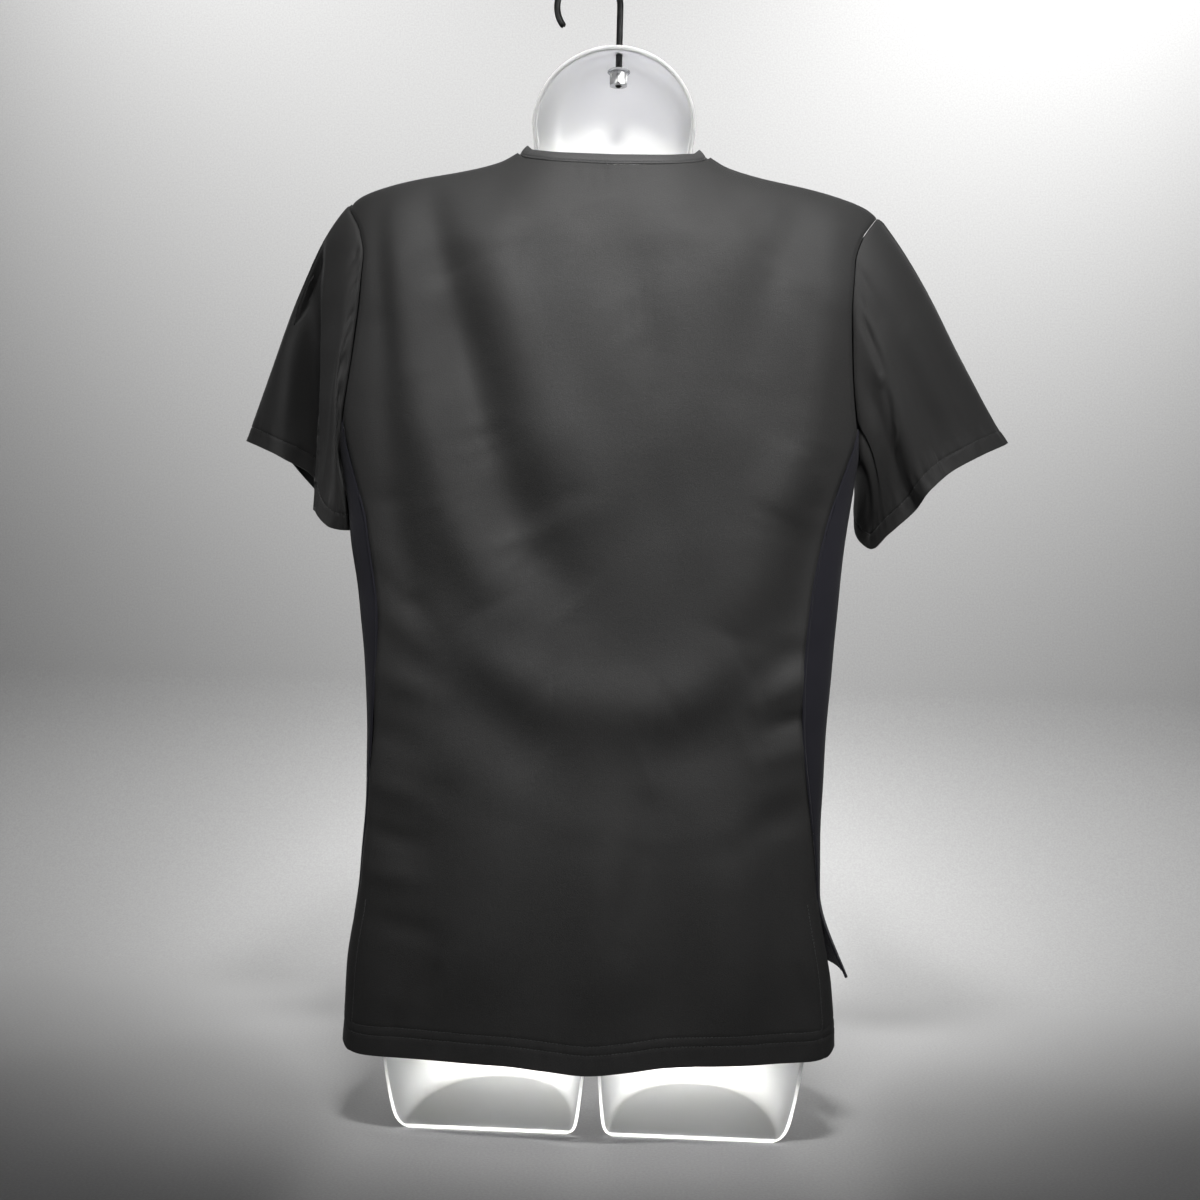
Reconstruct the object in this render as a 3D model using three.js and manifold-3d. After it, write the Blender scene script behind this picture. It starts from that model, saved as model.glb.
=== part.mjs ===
// A medical scrub top shown on a limbless hollow-backed torso form, in millimetres.
// +X is the wearer's left, -Y the front, +Y the back and +Z up.
// The form stands on the flat ends of its two thigh stubs, at z = 0.
import * as THREE from 'three';
import Module from 'manifold-3d';

const wasm = await Module();
wasm.setup();

// The middle of the whole piece, which is set over the origin
const middleX = -9.9;
const middleY = -62.3;

// Driving dimensions of the cloth
const clothWall = 1.6;
const seamGap = 0.3;
const armholeGap = 1.2;
const bandWall = 2;
const bandHeight = 9;
const sidePanelHem = 127;
const ventTop = 186;
const armholeNotch = 532;
const underarm = 508;
const neckHalf = 73;
const neckVeeBottom = 596;
const shoulderLineY = -14;
const shoulderRound = 85;
const shoulderPower = 2.2;
const backPower = 0.75;
const frontPower = 0.9;
const neckVeePower = 1.08;
const leastRound = 20;

// The garment's section at each height: half width, sideways shift, depth to front and back
const torsoSections = [
  { z: 40, half: 186, shift: 2.5, front: -151, back: 44 },
  { z: 120, half: 182, shift: 4, front: -151, back: 41 },
  { z: 193, half: 172.5, shift: 5.2, front: -152, back: 34 },
  { z: 265, half: 171, shift: 3.5, front: -150, back: 27 },
  { z: 355, half: 175.5, shift: 3.2, front: -150, back: 24 },
  { z: 451, half: 186, shift: 5.8, front: -160, back: 31 },
  { z: 530, half: 196, shift: 6, front: -168, back: 39 },
  { z: 610, half: 200, shift: 3.5, front: -150, back: 42 },
  { z: 660, half: 201, shift: 1, front: -118, back: 39 },
  { z: 700, half: 202, shift: 0, front: -88, back: 30 },
  { z: 770, half: 202, shift: 0, front: -55, back: 6 },
];

// The crest of the shoulders from the neck out to the shoulder tips
const shoulderCrest = [
  { x: 0, z: 772 },
  { x: 40, z: 761 },
  { x: 73, z: 738.5 },
  { x: 86, z: 731 },
  { x: 108, z: 724.5 },
  { x: 150, z: 716 },
  { x: 175, z: 709 },
  { x: 190, z: 703 },
  { x: 200, z: 696 },
];
// The left shoulder sits higher than the right by this share of the distance out
const shoulderTilt = 0.016;

// The back neckline, a shallow scoop
const backNeckline = [
  { x: 0, z: 723 },
  { x: 40, z: 725 },
  { x: 62, z: 729 },
  { x: 69, z: 732 },
  { x: 73, z: 738.5 },
];

// Bearing of the seams beside each knit side panel, in degrees from the middle of the back
const sideSeams = [
  { z: 40, backLeft: 88, backRight: 87, front: 118 },
  { z: 190, backLeft: 86, backRight: 80, front: 117 },
  { z: 265, backLeft: 80, backRight: 69, front: 116 },
  { z: 310, backLeft: 75, backRight: 63.5, front: 116 },
  { z: 355, backLeft: 70, backRight: 61.5, front: 116 },
  { z: 400, backLeft: 66, backRight: 62, front: 116 },
  { z: 451, backLeft: 66.5, backRight: 65, front: 114 },
  { z: 490, backLeft: 71, backRight: 70, front: 112 },
  { z: 532, backLeft: 78, backRight: 80, front: 108 },
];

// Half width across the armhole seams at each height, up to the shoulder tip
const armholeEdges = [
  { z: 532, back: 192, front: 186 },
  { z: 565, back: 187, front: 176 },
  { z: 595, back: 184, front: 172 },
  { z: 625, back: 182, front: 172 },
  { z: 651, back: 182, front: 176 },
  { z: 672, back: 187, front: 184 },
  { z: 694, back: 200, front: 200 },
];

// The lower edge of the back panel, longer than the front
const backHem = [
  { x: 0, z: 56 },
  { x: 25, z: 59 },
  { x: 60, z: 63 },
  { x: 130, z: 65 },
  { x: 165, z: 64.5 },
  { x: 178, z: 66 },
  { x: 186, z: 73 },
];
// The back hem hangs lower on the left by this share of the distance out
const hemTilt = 0.023;

// How far the free front half swings out below the vents, by the side.
// The swing starts this share of the way round from the middle.
const ventFlare = { left: 0, right: 12 };
const flareStart = 0.55;
const flarePower = 1.5;

// The largest soft folds of the back panel, each a line from (x0, z0) to (x1, z1)
const backFolds = [
  { x0: 132, z0: 700, x1: 62, z1: 470, spread: 20, depth: 5 },
  { x0: 172, z0: 690, x1: 158, z1: 470, spread: 9, depth: 4 },
  { x0: -90, z0: 705, x1: -62, z1: 540, spread: 18, depth: 4 },
  { x0: 120, z0: 420, x1: 60, z1: 345, spread: 22, depth: 5 },
  { x0: -140, z0: 340, x1: -70, z1: 250, spread: 26, depth: 4 },
  { x0: 125, z0: 230, x1: 150, z1: 90, spread: 18, depth: 4 },
  { x0: -40, z0: 210, x1: -60, z1: 70, spread: 26, depth: 3 },
];

// A fold keeps this share of its length as the fade at each end
const foldFade = 0.08;

// Front folds fall from the bust to the hem
const frontFolds = [
  { x0: 90, z0: 520, x1: 104, z1: 140, spread: 16, depth: 6 },
  { x0: 40, z0: 440, x1: 36, z1: 125, spread: 14, depth: 4 },
  { x0: -30, z0: 430, x1: -44, z1: 130, spread: 15, depth: 5 },
  { x0: -96, z0: 525, x1: -108, z1: 150, spread: 17, depth: 6 },
];

// Each sleeve: how it leaves the shoulder, its folds and the points of its hem's loop.
// Clock 0 is the outer crest, 90 the back, 180 the underarm seam and 270 the front.
const sleeves = {
  left: {
    side: 1,
    rows: 10,
    columnSplit: 2,
    cap: { out: 0.72, drop: 0.69, reach: 0.62, lean: 20 },
    folds: [{ clock: 300, spread: 18, depth: 9, atCap: 0.2 }],
    hem: [
      { clock: 0, x: 286.6, y: -44, z: 520 },
      { clock: 25, x: 267.5, y: -22, z: 512.5 },
      { clock: 45, x: 246, y: -11, z: 503 },
      { clock: 60, x: 233, y: -3, z: 494 },
      { clock: 75, x: 221, y: 7, z: 475 },
      { clock: 88, x: 215.5, y: 14, z: 461.5 },
      { clock: 110, x: 206.5, y: 16, z: 452 },
      { clock: 135, x: 200, y: 6, z: 449.5 },
      { clock: 160, x: 195, y: -12, z: 450 },
      { clock: 180, x: 195.5, y: -35, z: 452 },
      { clock: 205, x: 204.5, y: -65, z: 460.5 },
      { clock: 235, x: 230, y: -90, z: 475 },
      { clock: 270, x: 251, y: -98, z: 494 },
      { clock: 300, x: 268, y: -92, z: 511.5 },
      { clock: 330, x: 281.5, y: -72, z: 518 },
    ],
  },
  right: {
    side: -1,
    rows: 8,
    columnSplit: 1,
    cap: { out: 0.62, drop: 0.78, reach: 1, lean: 35 },
    folds: [
      { clock: 118, spread: 14, depth: 9, atCap: 0.15 },
      { clock: 62, spread: 16, depth: 6, atCap: 0.5 },
      { clock: 300, spread: 18, depth: 9, atCap: 0.2 },
    ],
    hem: [
      { clock: 0, x: -305.5, y: -38, z: 529 },
      { clock: 30, x: -284, y: -15, z: 518 },
      { clock: 60, x: -259, y: 3, z: 504 },
      { clock: 90, x: -240.5, y: 10, z: 488 },
      { clock: 120, x: -225, y: 4, z: 468.5 },
      { clock: 150, x: -211.5, y: -12, z: 454.5 },
      { clock: 172, x: -202, y: -25, z: 445 },
      { clock: 195, x: -192, y: -45, z: 457 },
      { clock: 215, x: -197, y: -62, z: 470.5 },
      { clock: 240, x: -218.5, y: -80, z: 488 },
      { clock: 270, x: -248.5, y: -88, z: 507 },
      { clock: 300, x: -275.5, y: -82, z: 521 },
      { clock: 330, x: -296.5, y: -62, z: 529 },
    ],
  },
};

// The upright pleat at the back of the left sleeve. Its edge hangs at one x all the way down.
const pleat = {
  edge: 216,
  turn: 9,
  floor: 12,
  runOut: 15,
  crestFade: 14,
  underFrom: 170,
  underTo: 190,
};
const pleatDepths = [
  { z: 455, depth: 48 },
  { z: 500, depth: 46 },
  { z: 560, depth: 38 },
  { z: 615, depth: 26 },
  { z: 660, depth: 15 },
  { z: 690, depth: 6 },
  { z: 715, depth: 0 },
];


// How a sleeve's threads run: outward and down at the side and under the arm, the clock
// degrees over which the cap and the underarm reach, and how far each end of a thread pulls
const sleeveRun = {
  side: { out: 0.72, drop: 0.69 },
  under: { out: 0.62, drop: 0.78 },
  capSpread: 42,
  underSpread: 55,
  seamLift: 0.25,
  underFall: 0.6,
  hemPull: 0.9,
  axisReach: 0.8,
  foldsFrom: 0.2,
};

// Rows and columns of the cloth grids
const seamRows = 22;
const backHemRows = 3;
const yokeRows = 4;
const roundRows = 8;
const neckColumns = 5;
const shoulderColumns = 6;
const sideColumns = 6;
const sideMargin = 0.12;

// Driving dimensions of the torso form
const formWall = 3;
const formTop = 818;
const formPower = 2.3;
const formSections = [
  { z: 62, half: 120, front: 90 },
  { z: 72, half: 152, front: 118 },
  { z: 90, half: 164, front: 134 },
  { z: 140, half: 162, front: 138 },
  { z: 220, half: 150, front: 132 },
  { z: 330, half: 138, front: 118 },
  { z: 420, half: 148, front: 130 },
  { z: 520, half: 165, front: 148 },
  { z: 600, half: 172, front: 128 },
  { z: 655, half: 172, front: 98 },
  { z: 678, half: 164, front: 84 },
  { z: 692, half: 142, front: 74 },
  { z: 702, half: 110, front: 64 },
  { z: 710, half: 80, front: 55 },
  { z: 718, half: 63, front: 50 },
  { z: 730, half: 58.5, front: 47 },
  { z: 742, half: 59.5, front: 46 },
  { z: 757, half: 61.5, front: 46 },
];
const domeCentre = 757;
const domeDepth = 46;
const domeRings = 7;
const domeLastLift = 84;
const torsoSides = 36;
const stubSides = 28;
const behindForm = { width: 600, depth: 400, height: 1200 };
const formLengths = [
  { name: 'form_stub', low: 0, high: 80 },
  { name: 'form_hip', low: 80, high: 210 },
  { name: 'form_waist', low: 210, high: 440 },
  { name: 'form_chest', low: 440, high: 640 },
  { name: 'form_shoulder', low: 640, high: 757 },
];
const stubSections = [
  { z: 0, middle: 77, half: 60, front: 120 },
  { z: 2, middle: 77.2, half: 64.7, front: 127 },
  { z: 7, middle: 78.2, half: 68.7, front: 131 },
  { z: 16, middle: 79.2, half: 71.2, front: 133 },
  { z: 50, middle: 81, half: 76, front: 134 },
  { z: 80, middle: 82.5, half: 78, front: 134 },
  { z: 110, middle: 82, half: 76, front: 130 },
];
const hookRod = 5;
const hookX = -2;
const hookY = -14;
const hookBase = 790;
const hookStraight = 852;
const hookRadius = 24;
const hookSweep = 215;
const hookTurns = 12;
const hookSteps = 22;
const rodSides = 12;
const nutAcross = 13;
const nutHeight = 9;
const washerRadius = 8.5;
const washerHeight = 2.5;
const washerSides = 24;
const washerDrop = 14.5;

// Colours and finishes
const looks = {
  cloth: { color: 0x3b3b3c, roughness: 0.78, metalness: 0 },
  knit: { color: 0x262630, roughness: 0.92, metalness: 0 },
  plastic: { color: 0xe6e7ea, roughness: 0.28, metalness: 0 },
  darkSteel: { color: 0x2b2b2d, roughness: 0.35, metalness: 0.8 },
  steel: { color: 0xb9bbbd, roughness: 0.3, metalness: 0.9 },
};

const group = new THREE.Group();
group.name = 'scrub_top_on_form';
group.position.set(-middleX, -middleY, 0);

function rad(degrees) {
  return degrees * Math.PI / 180;
}

function clamp(value, low, high) {
  return Math.min(high, Math.max(low, value));
}

// A smooth curve through the rows of a table that never overshoots them
function curve(rows, key, column) {
  const count = rows.length;
  const slopes = rows.map((row, i) => {
    const before = rows[Math.max(i - 1, 0)];
    const after = rows[Math.min(i + 1, count - 1)];
    const inSlope = (row[column] - before[column]) / (row[key] - before[key] || 1);
    const outSlope = (after[column] - row[column]) / (after[key] - row[key] || 1);
    if (i === 0) return outSlope;
    if (i === count - 1) return inSlope;
    return inSlope * outSlope <= 0 ? 0 : 2 * inSlope * outSlope / (inSlope + outSlope);
  });
  return (at) => {
    if (at <= rows[0][key]) return rows[0][column];
    if (at >= rows[count - 1][key]) return rows[count - 1][column];
    let i = 0;
    while (at > rows[i + 1][key]) i += 1;
    const span = rows[i + 1][key] - rows[i][key];
    const t = (at - rows[i][key]) / span;
    const rise = t * t * (3 - 2 * t);
    const leaving = t * (1 - t) * (1 - t) * slopes[i];
    const arriving = t * t * (t - 1) * slopes[i + 1];
    return rows[i][column] * (1 - rise) + rows[i + 1][column] * rise + span * (leaving + arriving);
  };
}

const halfAt = curve(torsoSections, 'z', 'half');
const shiftAt = curve(torsoSections, 'z', 'shift');
const frontAt = curve(torsoSections, 'z', 'front');
const backAt = curve(torsoSections, 'z', 'back');
const levelCrestAt = curve(shoulderCrest, 'x', 'z');
const backNeckAt = curve(backNeckline, 'x', 'z');
const backHemAt = curve(backHem, 'x', 'z');
const armBackAt = curve(armholeEdges, 'z', 'back');
const armFrontAt = curve(armholeEdges, 'z', 'front');
const seamAt = {
  left: curve(sideSeams, 'z', 'backLeft'),
  right: curve(sideSeams, 'z', 'backRight'),
  front: curve(sideSeams, 'z', 'front'),
};

// The shoulder crest's height; the crest ends at the tip
function crestAt(x) {
  const tip = shoulderCrest.at(-1).x;
  const within = clamp(x, -tip, tip);
  return levelCrestAt(Math.abs(within)) + shoulderTilt * within;
}

// Depth of a soft fold at a point: full along its line, fading past its ends
function foldDepth(folds, x, z) {
  let total = 0;
  for (const fold of folds) {
    const dx = fold.x1 - fold.x0;
    const dz = fold.z1 - fold.z0;
    const along = ((x - fold.x0) * dx + (z - fold.z0) * dz) / (dx * dx + dz * dz);
    const nearest = clamp(along, 0, 1);
    const away = Math.hypot(x - fold.x0 - nearest * dx, z - fold.z0 - nearest * dz);
    const middle = Math.sin(Math.PI * clamp(nearest, foldFade, 1 - foldFade)) ** 0.5;
    total += fold.depth * middle * Math.exp(-((away / fold.spread) ** 2));
  }
  return total;
}

// How far a section has come out from the shoulder crest, 0 on the crest and 1 below the round
function shoulderFill(x, z) {
  const t = clamp((crestAt(x) - z) / shoulderRound, 0, 1);
  return (1 - (1 - t) ** shoulderPower) ** (1 / shoulderPower);
}

// A point of the worn torso at a bearing (degrees from the middle of the back) and a height.
// Below the vents the front half hangs free of the back and swings out.
function torsoPoint(bearing, z, isFree = false) {
  const sideways = Math.sin(rad(bearing));
  const facing = Math.cos(rad(bearing));
  const isBack = facing >= 0;
  const depth = isBack ? backAt(z) : frontAt(z);
  const power = isBack ? backPower : frontPower;
  const fullX = halfAt(z) * sideways;
  const x = fullX + shiftAt(z);
  let y = depth * Math.abs(facing) ** power;
  if (isBack) y -= foldDepth(backFolds, x, z) * facing ** 0.5;
  else y += foldDepth(frontFolds, x, z) * Math.abs(facing) ** 0.5;
  const fill = shoulderFill(fullX, z);
  const point = new THREE.Vector3(x, shoulderLineY + (y - shoulderLineY) * fill, z);
  if (isFree && z < ventTop) {
    const flare = sideways > 0 ? ventFlare.left : ventFlare.right;
    const drop = (ventTop - z) / (ventTop - sidePanelHem);
    const nearSide = clamp((Math.abs(sideways) - flareStart) / (1 - flareStart), 0, 1);
    point.x += Math.sign(sideways) * flare * (drop * nearSide) ** flarePower;
  }
  return point;
}

// The bearing of a point that is x from the middle, on the back or on the front
function bearingOf(x, z, isBack) {
  const angle = Math.asin(clamp(x / halfAt(z), -1, 1)) * 180 / Math.PI;
  return isBack ? angle : 180 - angle;
}

// Outward direction of the worn torso
function torsoNormal(bearing, z, isFree = false) {
  const step = 0.4;
  const across = torsoPoint(bearing + step, z, isFree).sub(torsoPoint(bearing - step, z, isFree));
  const up = torsoPoint(bearing, z + step, isFree).sub(torsoPoint(bearing, z - step, isFree));
  return across.cross(up).normalize().negate();
}

// A closed wall from a grid of outer points and outward directions.
// A tube's rows join round; a flat piece gets all four edges.
function wallGeometry(outer, normals, wall, isTube) {
  const rows = outer.length;
  const columns = outer[0].length;
  const positions = [];
  for (const layer of [0, wall]) {
    for (let i = 0; i < rows; i += 1) {
      for (let j = 0; j < columns; j += 1) {
        const p = outer[i][j].clone().addScaledVector(normals[i][j], -layer);
        positions.push(p.x, p.y, p.z);
      }
    }
  }
  const count = rows * columns;
  const at = (layer, i, j) => layer * count + i * columns + (j % columns);
  const index = [];
  const quad = (a, b, c, d) => index.push(a, b, c, a, c, d);
  const spans = isTube ? columns : columns - 1;
  for (let i = 0; i < rows - 1; i += 1) {
    for (let j = 0; j < spans; j += 1) {
      quad(at(0, i, j), at(0, i, j + 1), at(0, i + 1, j + 1), at(0, i + 1, j));
      quad(at(1, i, j), at(1, i + 1, j), at(1, i + 1, j + 1), at(1, i, j + 1));
    }
  }
  for (let j = 0; j < spans; j += 1) {
    quad(at(0, 0, j), at(1, 0, j), at(1, 0, j + 1), at(0, 0, j + 1));
    quad(at(0, rows - 1, j), at(0, rows - 1, j + 1), at(1, rows - 1, j + 1), at(1, rows - 1, j));
  }
  if (!isTube) {
    for (let i = 0; i < rows - 1; i += 1) {
      quad(at(0, i, 0), at(0, i + 1, 0), at(1, i + 1, 0), at(1, i, 0));
      const last = columns - 1;
      quad(at(0, i, last), at(1, i, last), at(1, i + 1, last), at(0, i + 1, last));
    }
  }
  const geometry = new THREE.BufferGeometry();
  geometry.setAttribute('position', new THREE.Float32BufferAttribute(positions, 3));
  geometry.setIndex(index);
  return facingOut(geometry);
}

// Turns a closed mesh right side out when its volume comes out negative
function facingOut(geometry) {
  const p = geometry.attributes.position;
  const index = geometry.index.array;
  let volume = 0;
  const a = new THREE.Vector3();
  const b = new THREE.Vector3();
  const c = new THREE.Vector3();
  for (let i = 0; i < index.length; i += 3) {
    a.fromBufferAttribute(p, index[i]);
    b.fromBufferAttribute(p, index[i + 1]);
    c.fromBufferAttribute(p, index[i + 2]);
    volume += a.dot(b.cross(c));
  }
  if (volume < 0) {
    for (let i = 0; i < index.length; i += 3) {
      [index[i + 1], index[i + 2]] = [index[i + 2], index[i + 1]];
    }
  }
  return geometry;
}

function addPiece(name, geometry, look) {
  geometry.computeVertexNormals();
  const mesh = new THREE.Mesh(geometry, new THREE.MeshStandardMaterial(looks[look]));
  mesh.name = name;
  group.add(mesh);
}

// Half the width of the back or front panel at a height, on one side
function panelEdge(z, side, isBack) {
  const edge = side > 0 ? 'left' : 'right';
  if (z < armholeNotch) {
    const bearing = isBack ? seamAt[edge](z) : 180 - seamAt.front(z);
    return halfAt(z) * Math.sin(rad(bearing));
  }
  return isBack ? armBackAt(z) : armFrontAt(z);
}

// Height of a panel's top edge where it is x from the middle
function panelTop(x, isBack) {
  const away = Math.abs(x);
  if (away >= neckHalf) return crestAt(x);
  if (isBack) return backNeckAt(away) + shoulderTilt * x;
  const rise = away / neckHalf;
  const shoulder = crestAt(Math.sign(x) * neckHalf);
  return neckVeeBottom + (shoulder - neckVeeBottom) * rise ** neckVeePower;
}

// The height where the column at a share of the half width meets the top edge
function columnTop(share, side, isBack) {
  let low = isBack ? armholeEdges.at(-2).z : armholeEdges[1].z;
  let high = shoulderCrest[1].z;
  for (let halving = 0; halving < 40; halving += 1) {
    const middle = (low + high) / 2;
    if (panelTop(side * share * panelEdge(middle, side, isBack), isBack) > middle) low = middle;
    else high = middle;
  }
  return low;
}

// Heights along the seams beside the side panels, shared by every piece sewn there
function seamHeight(i) {
  return sidePanelHem + (armholeNotch - sidePanelHem) * i / seamRows;
}

// Columns of a panel as shares of its half width: across the neck, then along the shoulder.
// Each run crowds towards its end, where the edge turns.
function columnShares() {
  const neckTurn = rad(81);
  const sideTurn = rad(75);
  const neckShare = neckHalf / shoulderCrest.at(-1).x;
  const oneSide = [];
  for (let j = 1; j <= neckColumns; j += 1) {
    oneSide.push(neckShare * Math.sin(j / neckColumns * neckTurn) / Math.sin(neckTurn));
  }
  for (let j = 1; j <= shoulderColumns; j += 1) {
    const along = Math.sin(j / shoulderColumns * sideTurn) / Math.sin(sideTurn);
    oneSide.push(neckShare + (1 - neckShare) * along);
  }
  return [...oneSide.map((share) => -share).reverse(), 0, ...oneSide];
}

// The grid of one panel. Rows run from the hem up to the notch, through the yoke and over
// the round of the shoulder; columns cross the body.
function panelGrid(isBack) {
  const hemRows = isBack ? backHemRows : 0;
  const yokeStart = hemRows + seamRows;
  const roundStart = yokeStart + yokeRows;
  const rowCount = roundStart + roundRows;
  const outer = [];
  const normals = [];
  for (let i = 0; i <= rowCount; i += 1) {
    outer.push([]);
    normals.push([]);
  }
  for (const share of columnShares()) {
    const side = share < 0 ? -1 : 1;
    const reach = Math.abs(share);
    const top = columnTop(reach, side, isBack) - seamGap / 2;
    const crest = crestAt(side * reach * panelEdge(top, side, isBack));
    const start = clamp((crest - top) / shoulderRound, 0, 1);
    const roundBase = Math.min(crest - shoulderRound, top - leastRound);
    const hemX = reach * panelEdge(backHem[0].z, side, true);
    const hem = isBack ? backHemAt(hemX) - hemTilt * side * hemX : sidePanelHem;
    for (let i = 0; i <= rowCount; i += 1) {
      let z = hem + (sidePanelHem - hem) * (i / hemRows);
      if (i >= hemRows) z = seamHeight(i - hemRows);
      if (i > yokeStart) z = armholeNotch + (roundBase - armholeNotch) * (i - yokeStart) / yokeRows;
      if (i > roundStart) {
        const left = (rowCount - i) / roundRows;
        const t = start + (1 - start) * (1 - Math.cos(left * Math.PI / 2));
        z = start < 1 ? crest - shoulderRound * t : roundBase + (top - roundBase) * (1 - left);
      }
      const edge = panelEdge(z, side, isBack) - seamGap / 2;
      const bearing = bearingOf(side * reach * edge, z, isBack);
      outer[i].push(torsoPoint(bearing, z, !isBack));
      normals[i].push(torsoNormal(bearing, z, !isBack));
    }
  }
  return { outer, normals };
}

const backGrid = panelGrid(true);
const frontGrid = panelGrid(false);
addPiece('back_panel', wallGeometry(backGrid.outer, backGrid.normals, clothWall, false), 'cloth');
addPiece('front_panel', wallGeometry(frontGrid.outer, frontGrid.normals, clothWall, false), 'cloth');

// A knit side panel, from the front seam round to the back seam, open below the vent
function sideGrid(side) {
  const outer = [];
  const normals = [];
  const seam = side > 0 ? seamAt.left : seamAt.right;
  for (let i = 0; i <= seamRows; i += 1) {
    outer.push([]);
    normals.push([]);
    for (let j = 0; j <= sideColumns; j += 1) {
      const across = j / sideColumns;
      const dip = Math.sin(Math.PI * across) * (armholeNotch - underarm);
      const top = armholeNotch - dip;
      const z = sidePanelHem + (top - sidePanelHem) * (i / seamRows);
      const atBack = seam(z) + sideMargin;
      const atFront = seamAt.front(z) - sideMargin;
      const bearing = atBack * (1 - across) + atFront * across;
      outer[i].push(torsoPoint(side * bearing, z, true));
      normals[i].push(torsoNormal(side * bearing, z, true));
    }
  }
  return { outer, normals };
}

const sideGrids = { left: sideGrid(1), right: sideGrid(-1) };
for (const [edge, grid] of Object.entries(sideGrids)) {
  addPiece(`side_panel_${edge}`, wallGeometry(grid.outer, grid.normals, clothWall, false), 'knit');
}

// One place on a seam: a grid's point with its outward direction
function seamPlace(grid, i, j) {
  return { point: grid.outer[i][j], normal: grid.normals[i][j] };
}

// The place midway between two pieces that meet at a corner
function between(a, b) {
  return {
    point: a.point.clone().lerp(b.point, 0.5),
    normal: a.normal.clone().add(b.normal).normalize(),
  };
}

// The armhole's loop: from the shoulder tip down the back, under the arm and up the front
function armholeLoop(edge) {
  const underGrid = sideGrids[edge];
  const column = edge === 'left' ? backGrid.outer[0].length - 1 : 0;
  const backTop = backGrid.outer.length - 1;
  const frontTop = frontGrid.outer.length - 1;
  const armRows = yokeRows + roundRows;
  const underLast = underGrid.outer[0].length - 1;
  const loop = [between(seamPlace(backGrid, backTop, column), seamPlace(frontGrid, frontTop, column))];
  for (let i = 1; i < armRows; i += 1) loop.push(seamPlace(backGrid, backTop - i, column));
  const backNotch = seamPlace(backGrid, backTop - armRows, column);
  loop.push(between(backNotch, seamPlace(underGrid, seamRows, 0)));
  for (let j = 1; j < underLast; j += 1) loop.push(seamPlace(underGrid, seamRows, j));
  const frontNotch = seamPlace(frontGrid, frontTop - armRows, column);
  loop.push(between(frontNotch, seamPlace(underGrid, seamRows, underLast)));
  for (let i = armRows - 1; i > 0; i -= 1) loop.push(seamPlace(frontGrid, frontTop - i, column));
  return loop;
}

// The clock of each place: 0 at the shoulder tip and 180 in the middle under the arm
function clocksOf(loop) {
  const count = loop.length;
  const lengths = [0];
  for (let j = 1; j <= count; j += 1) {
    lengths.push(lengths[j - 1] + loop[j % count].point.distanceTo(loop[j - 1].point));
  }
  const under = count / 2;
  const total = lengths[count];
  return loop.map((_, j) => {
    if (j <= under) return 180 * lengths[j] / lengths[under];
    return 180 + 180 * (lengths[j] - lengths[under]) / (total - lengths[under]);
  });
}

// From the middle of the body's piece out past the loop, at one of its places
function bodyAway(loop, j) {
  const centre = new THREE.Vector3();
  for (const place of loop) centre.addScaledVector(place.point, 1 / loop.length);
  return centre.sub(loop[j].point);
}

// Distance round the clock in degrees, the short way
function clockAway(a, b) {
  return Math.abs((a - b + 540) % 360 - 180);
}

// A direction that goes outward from the body and down
function outAndDown(side, { out, drop }) {
  return new THREE.Vector3(side * out, 0, -drop);
}

// The same loop with each of its steps divided, so that a fold has columns enough
function dividedLoop(loop, parts) {
  const divided = [];
  loop.forEach((place, j) => {
    const next = loop[(j + 1) % loop.length];
    for (let k = 0; k < parts; k += 1) {
      divided.push({
        point: place.point.clone().lerp(next.point, k / parts),
        normal: place.normal.clone().lerp(next.normal, k / parts).normalize(),
      });
    }
  });
  return divided;
}

// A smooth closed curve through a hem's points, at one place round the clock
function hemPlace(hem, clock) {
  const count = hem.length;
  const row = (k) => {
    const { clock: at, x, y, z } = hem[(k + count) % count];
    return { at: at + 360 * Math.floor(k / count), place: new THREE.Vector3(x, y, z) };
  };
  let k = count - 1;
  while (hem[k].clock > clock) k -= 1;
  const [before, from, to, after] = [row(k - 1), row(k), row(k + 1), row(k + 2)];
  const run = to.at - from.at;
  const t = (clock - from.at) / run;
  const h = t * t * (3 - 2 * t);
  const leave = to.place.clone().sub(before.place).divideScalar(to.at - before.at);
  const arrive = after.place.clone().sub(from.place).divideScalar(after.at - from.at);
  return from.place.clone().lerp(to.place, h)
    .addScaledVector(leave, run * t * (1 - t) * (1 - t))
    .addScaledVector(arrive, run * t * t * (t - 1));
}

const pleatDepthAt = curve(pleatDepths, 'z', 'depth');

// How far a point of the left sleeve is folded away to the front, outwards of the pleat's edge
function pleatShift(point, clock) {
  const past = point.x - pleat.edge;
  const turned = THREE.MathUtils.smoothstep(past, 0, pleat.turn);
  const beyond = Math.max(0, past - pleat.floor) / pleat.runOut;
  const fromCrest = Math.min(1, clock / pleat.crestFade);
  const reach = pleat.underTo - pleat.underFrom;
  const toUnder = THREE.MathUtils.clamp((pleat.underTo - clock) / reach, 0, 1);
  return pleatDepthAt(point.z) * turned * Math.exp(-(beyond ** 2)) * fromCrest * toUnder;
}

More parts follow.
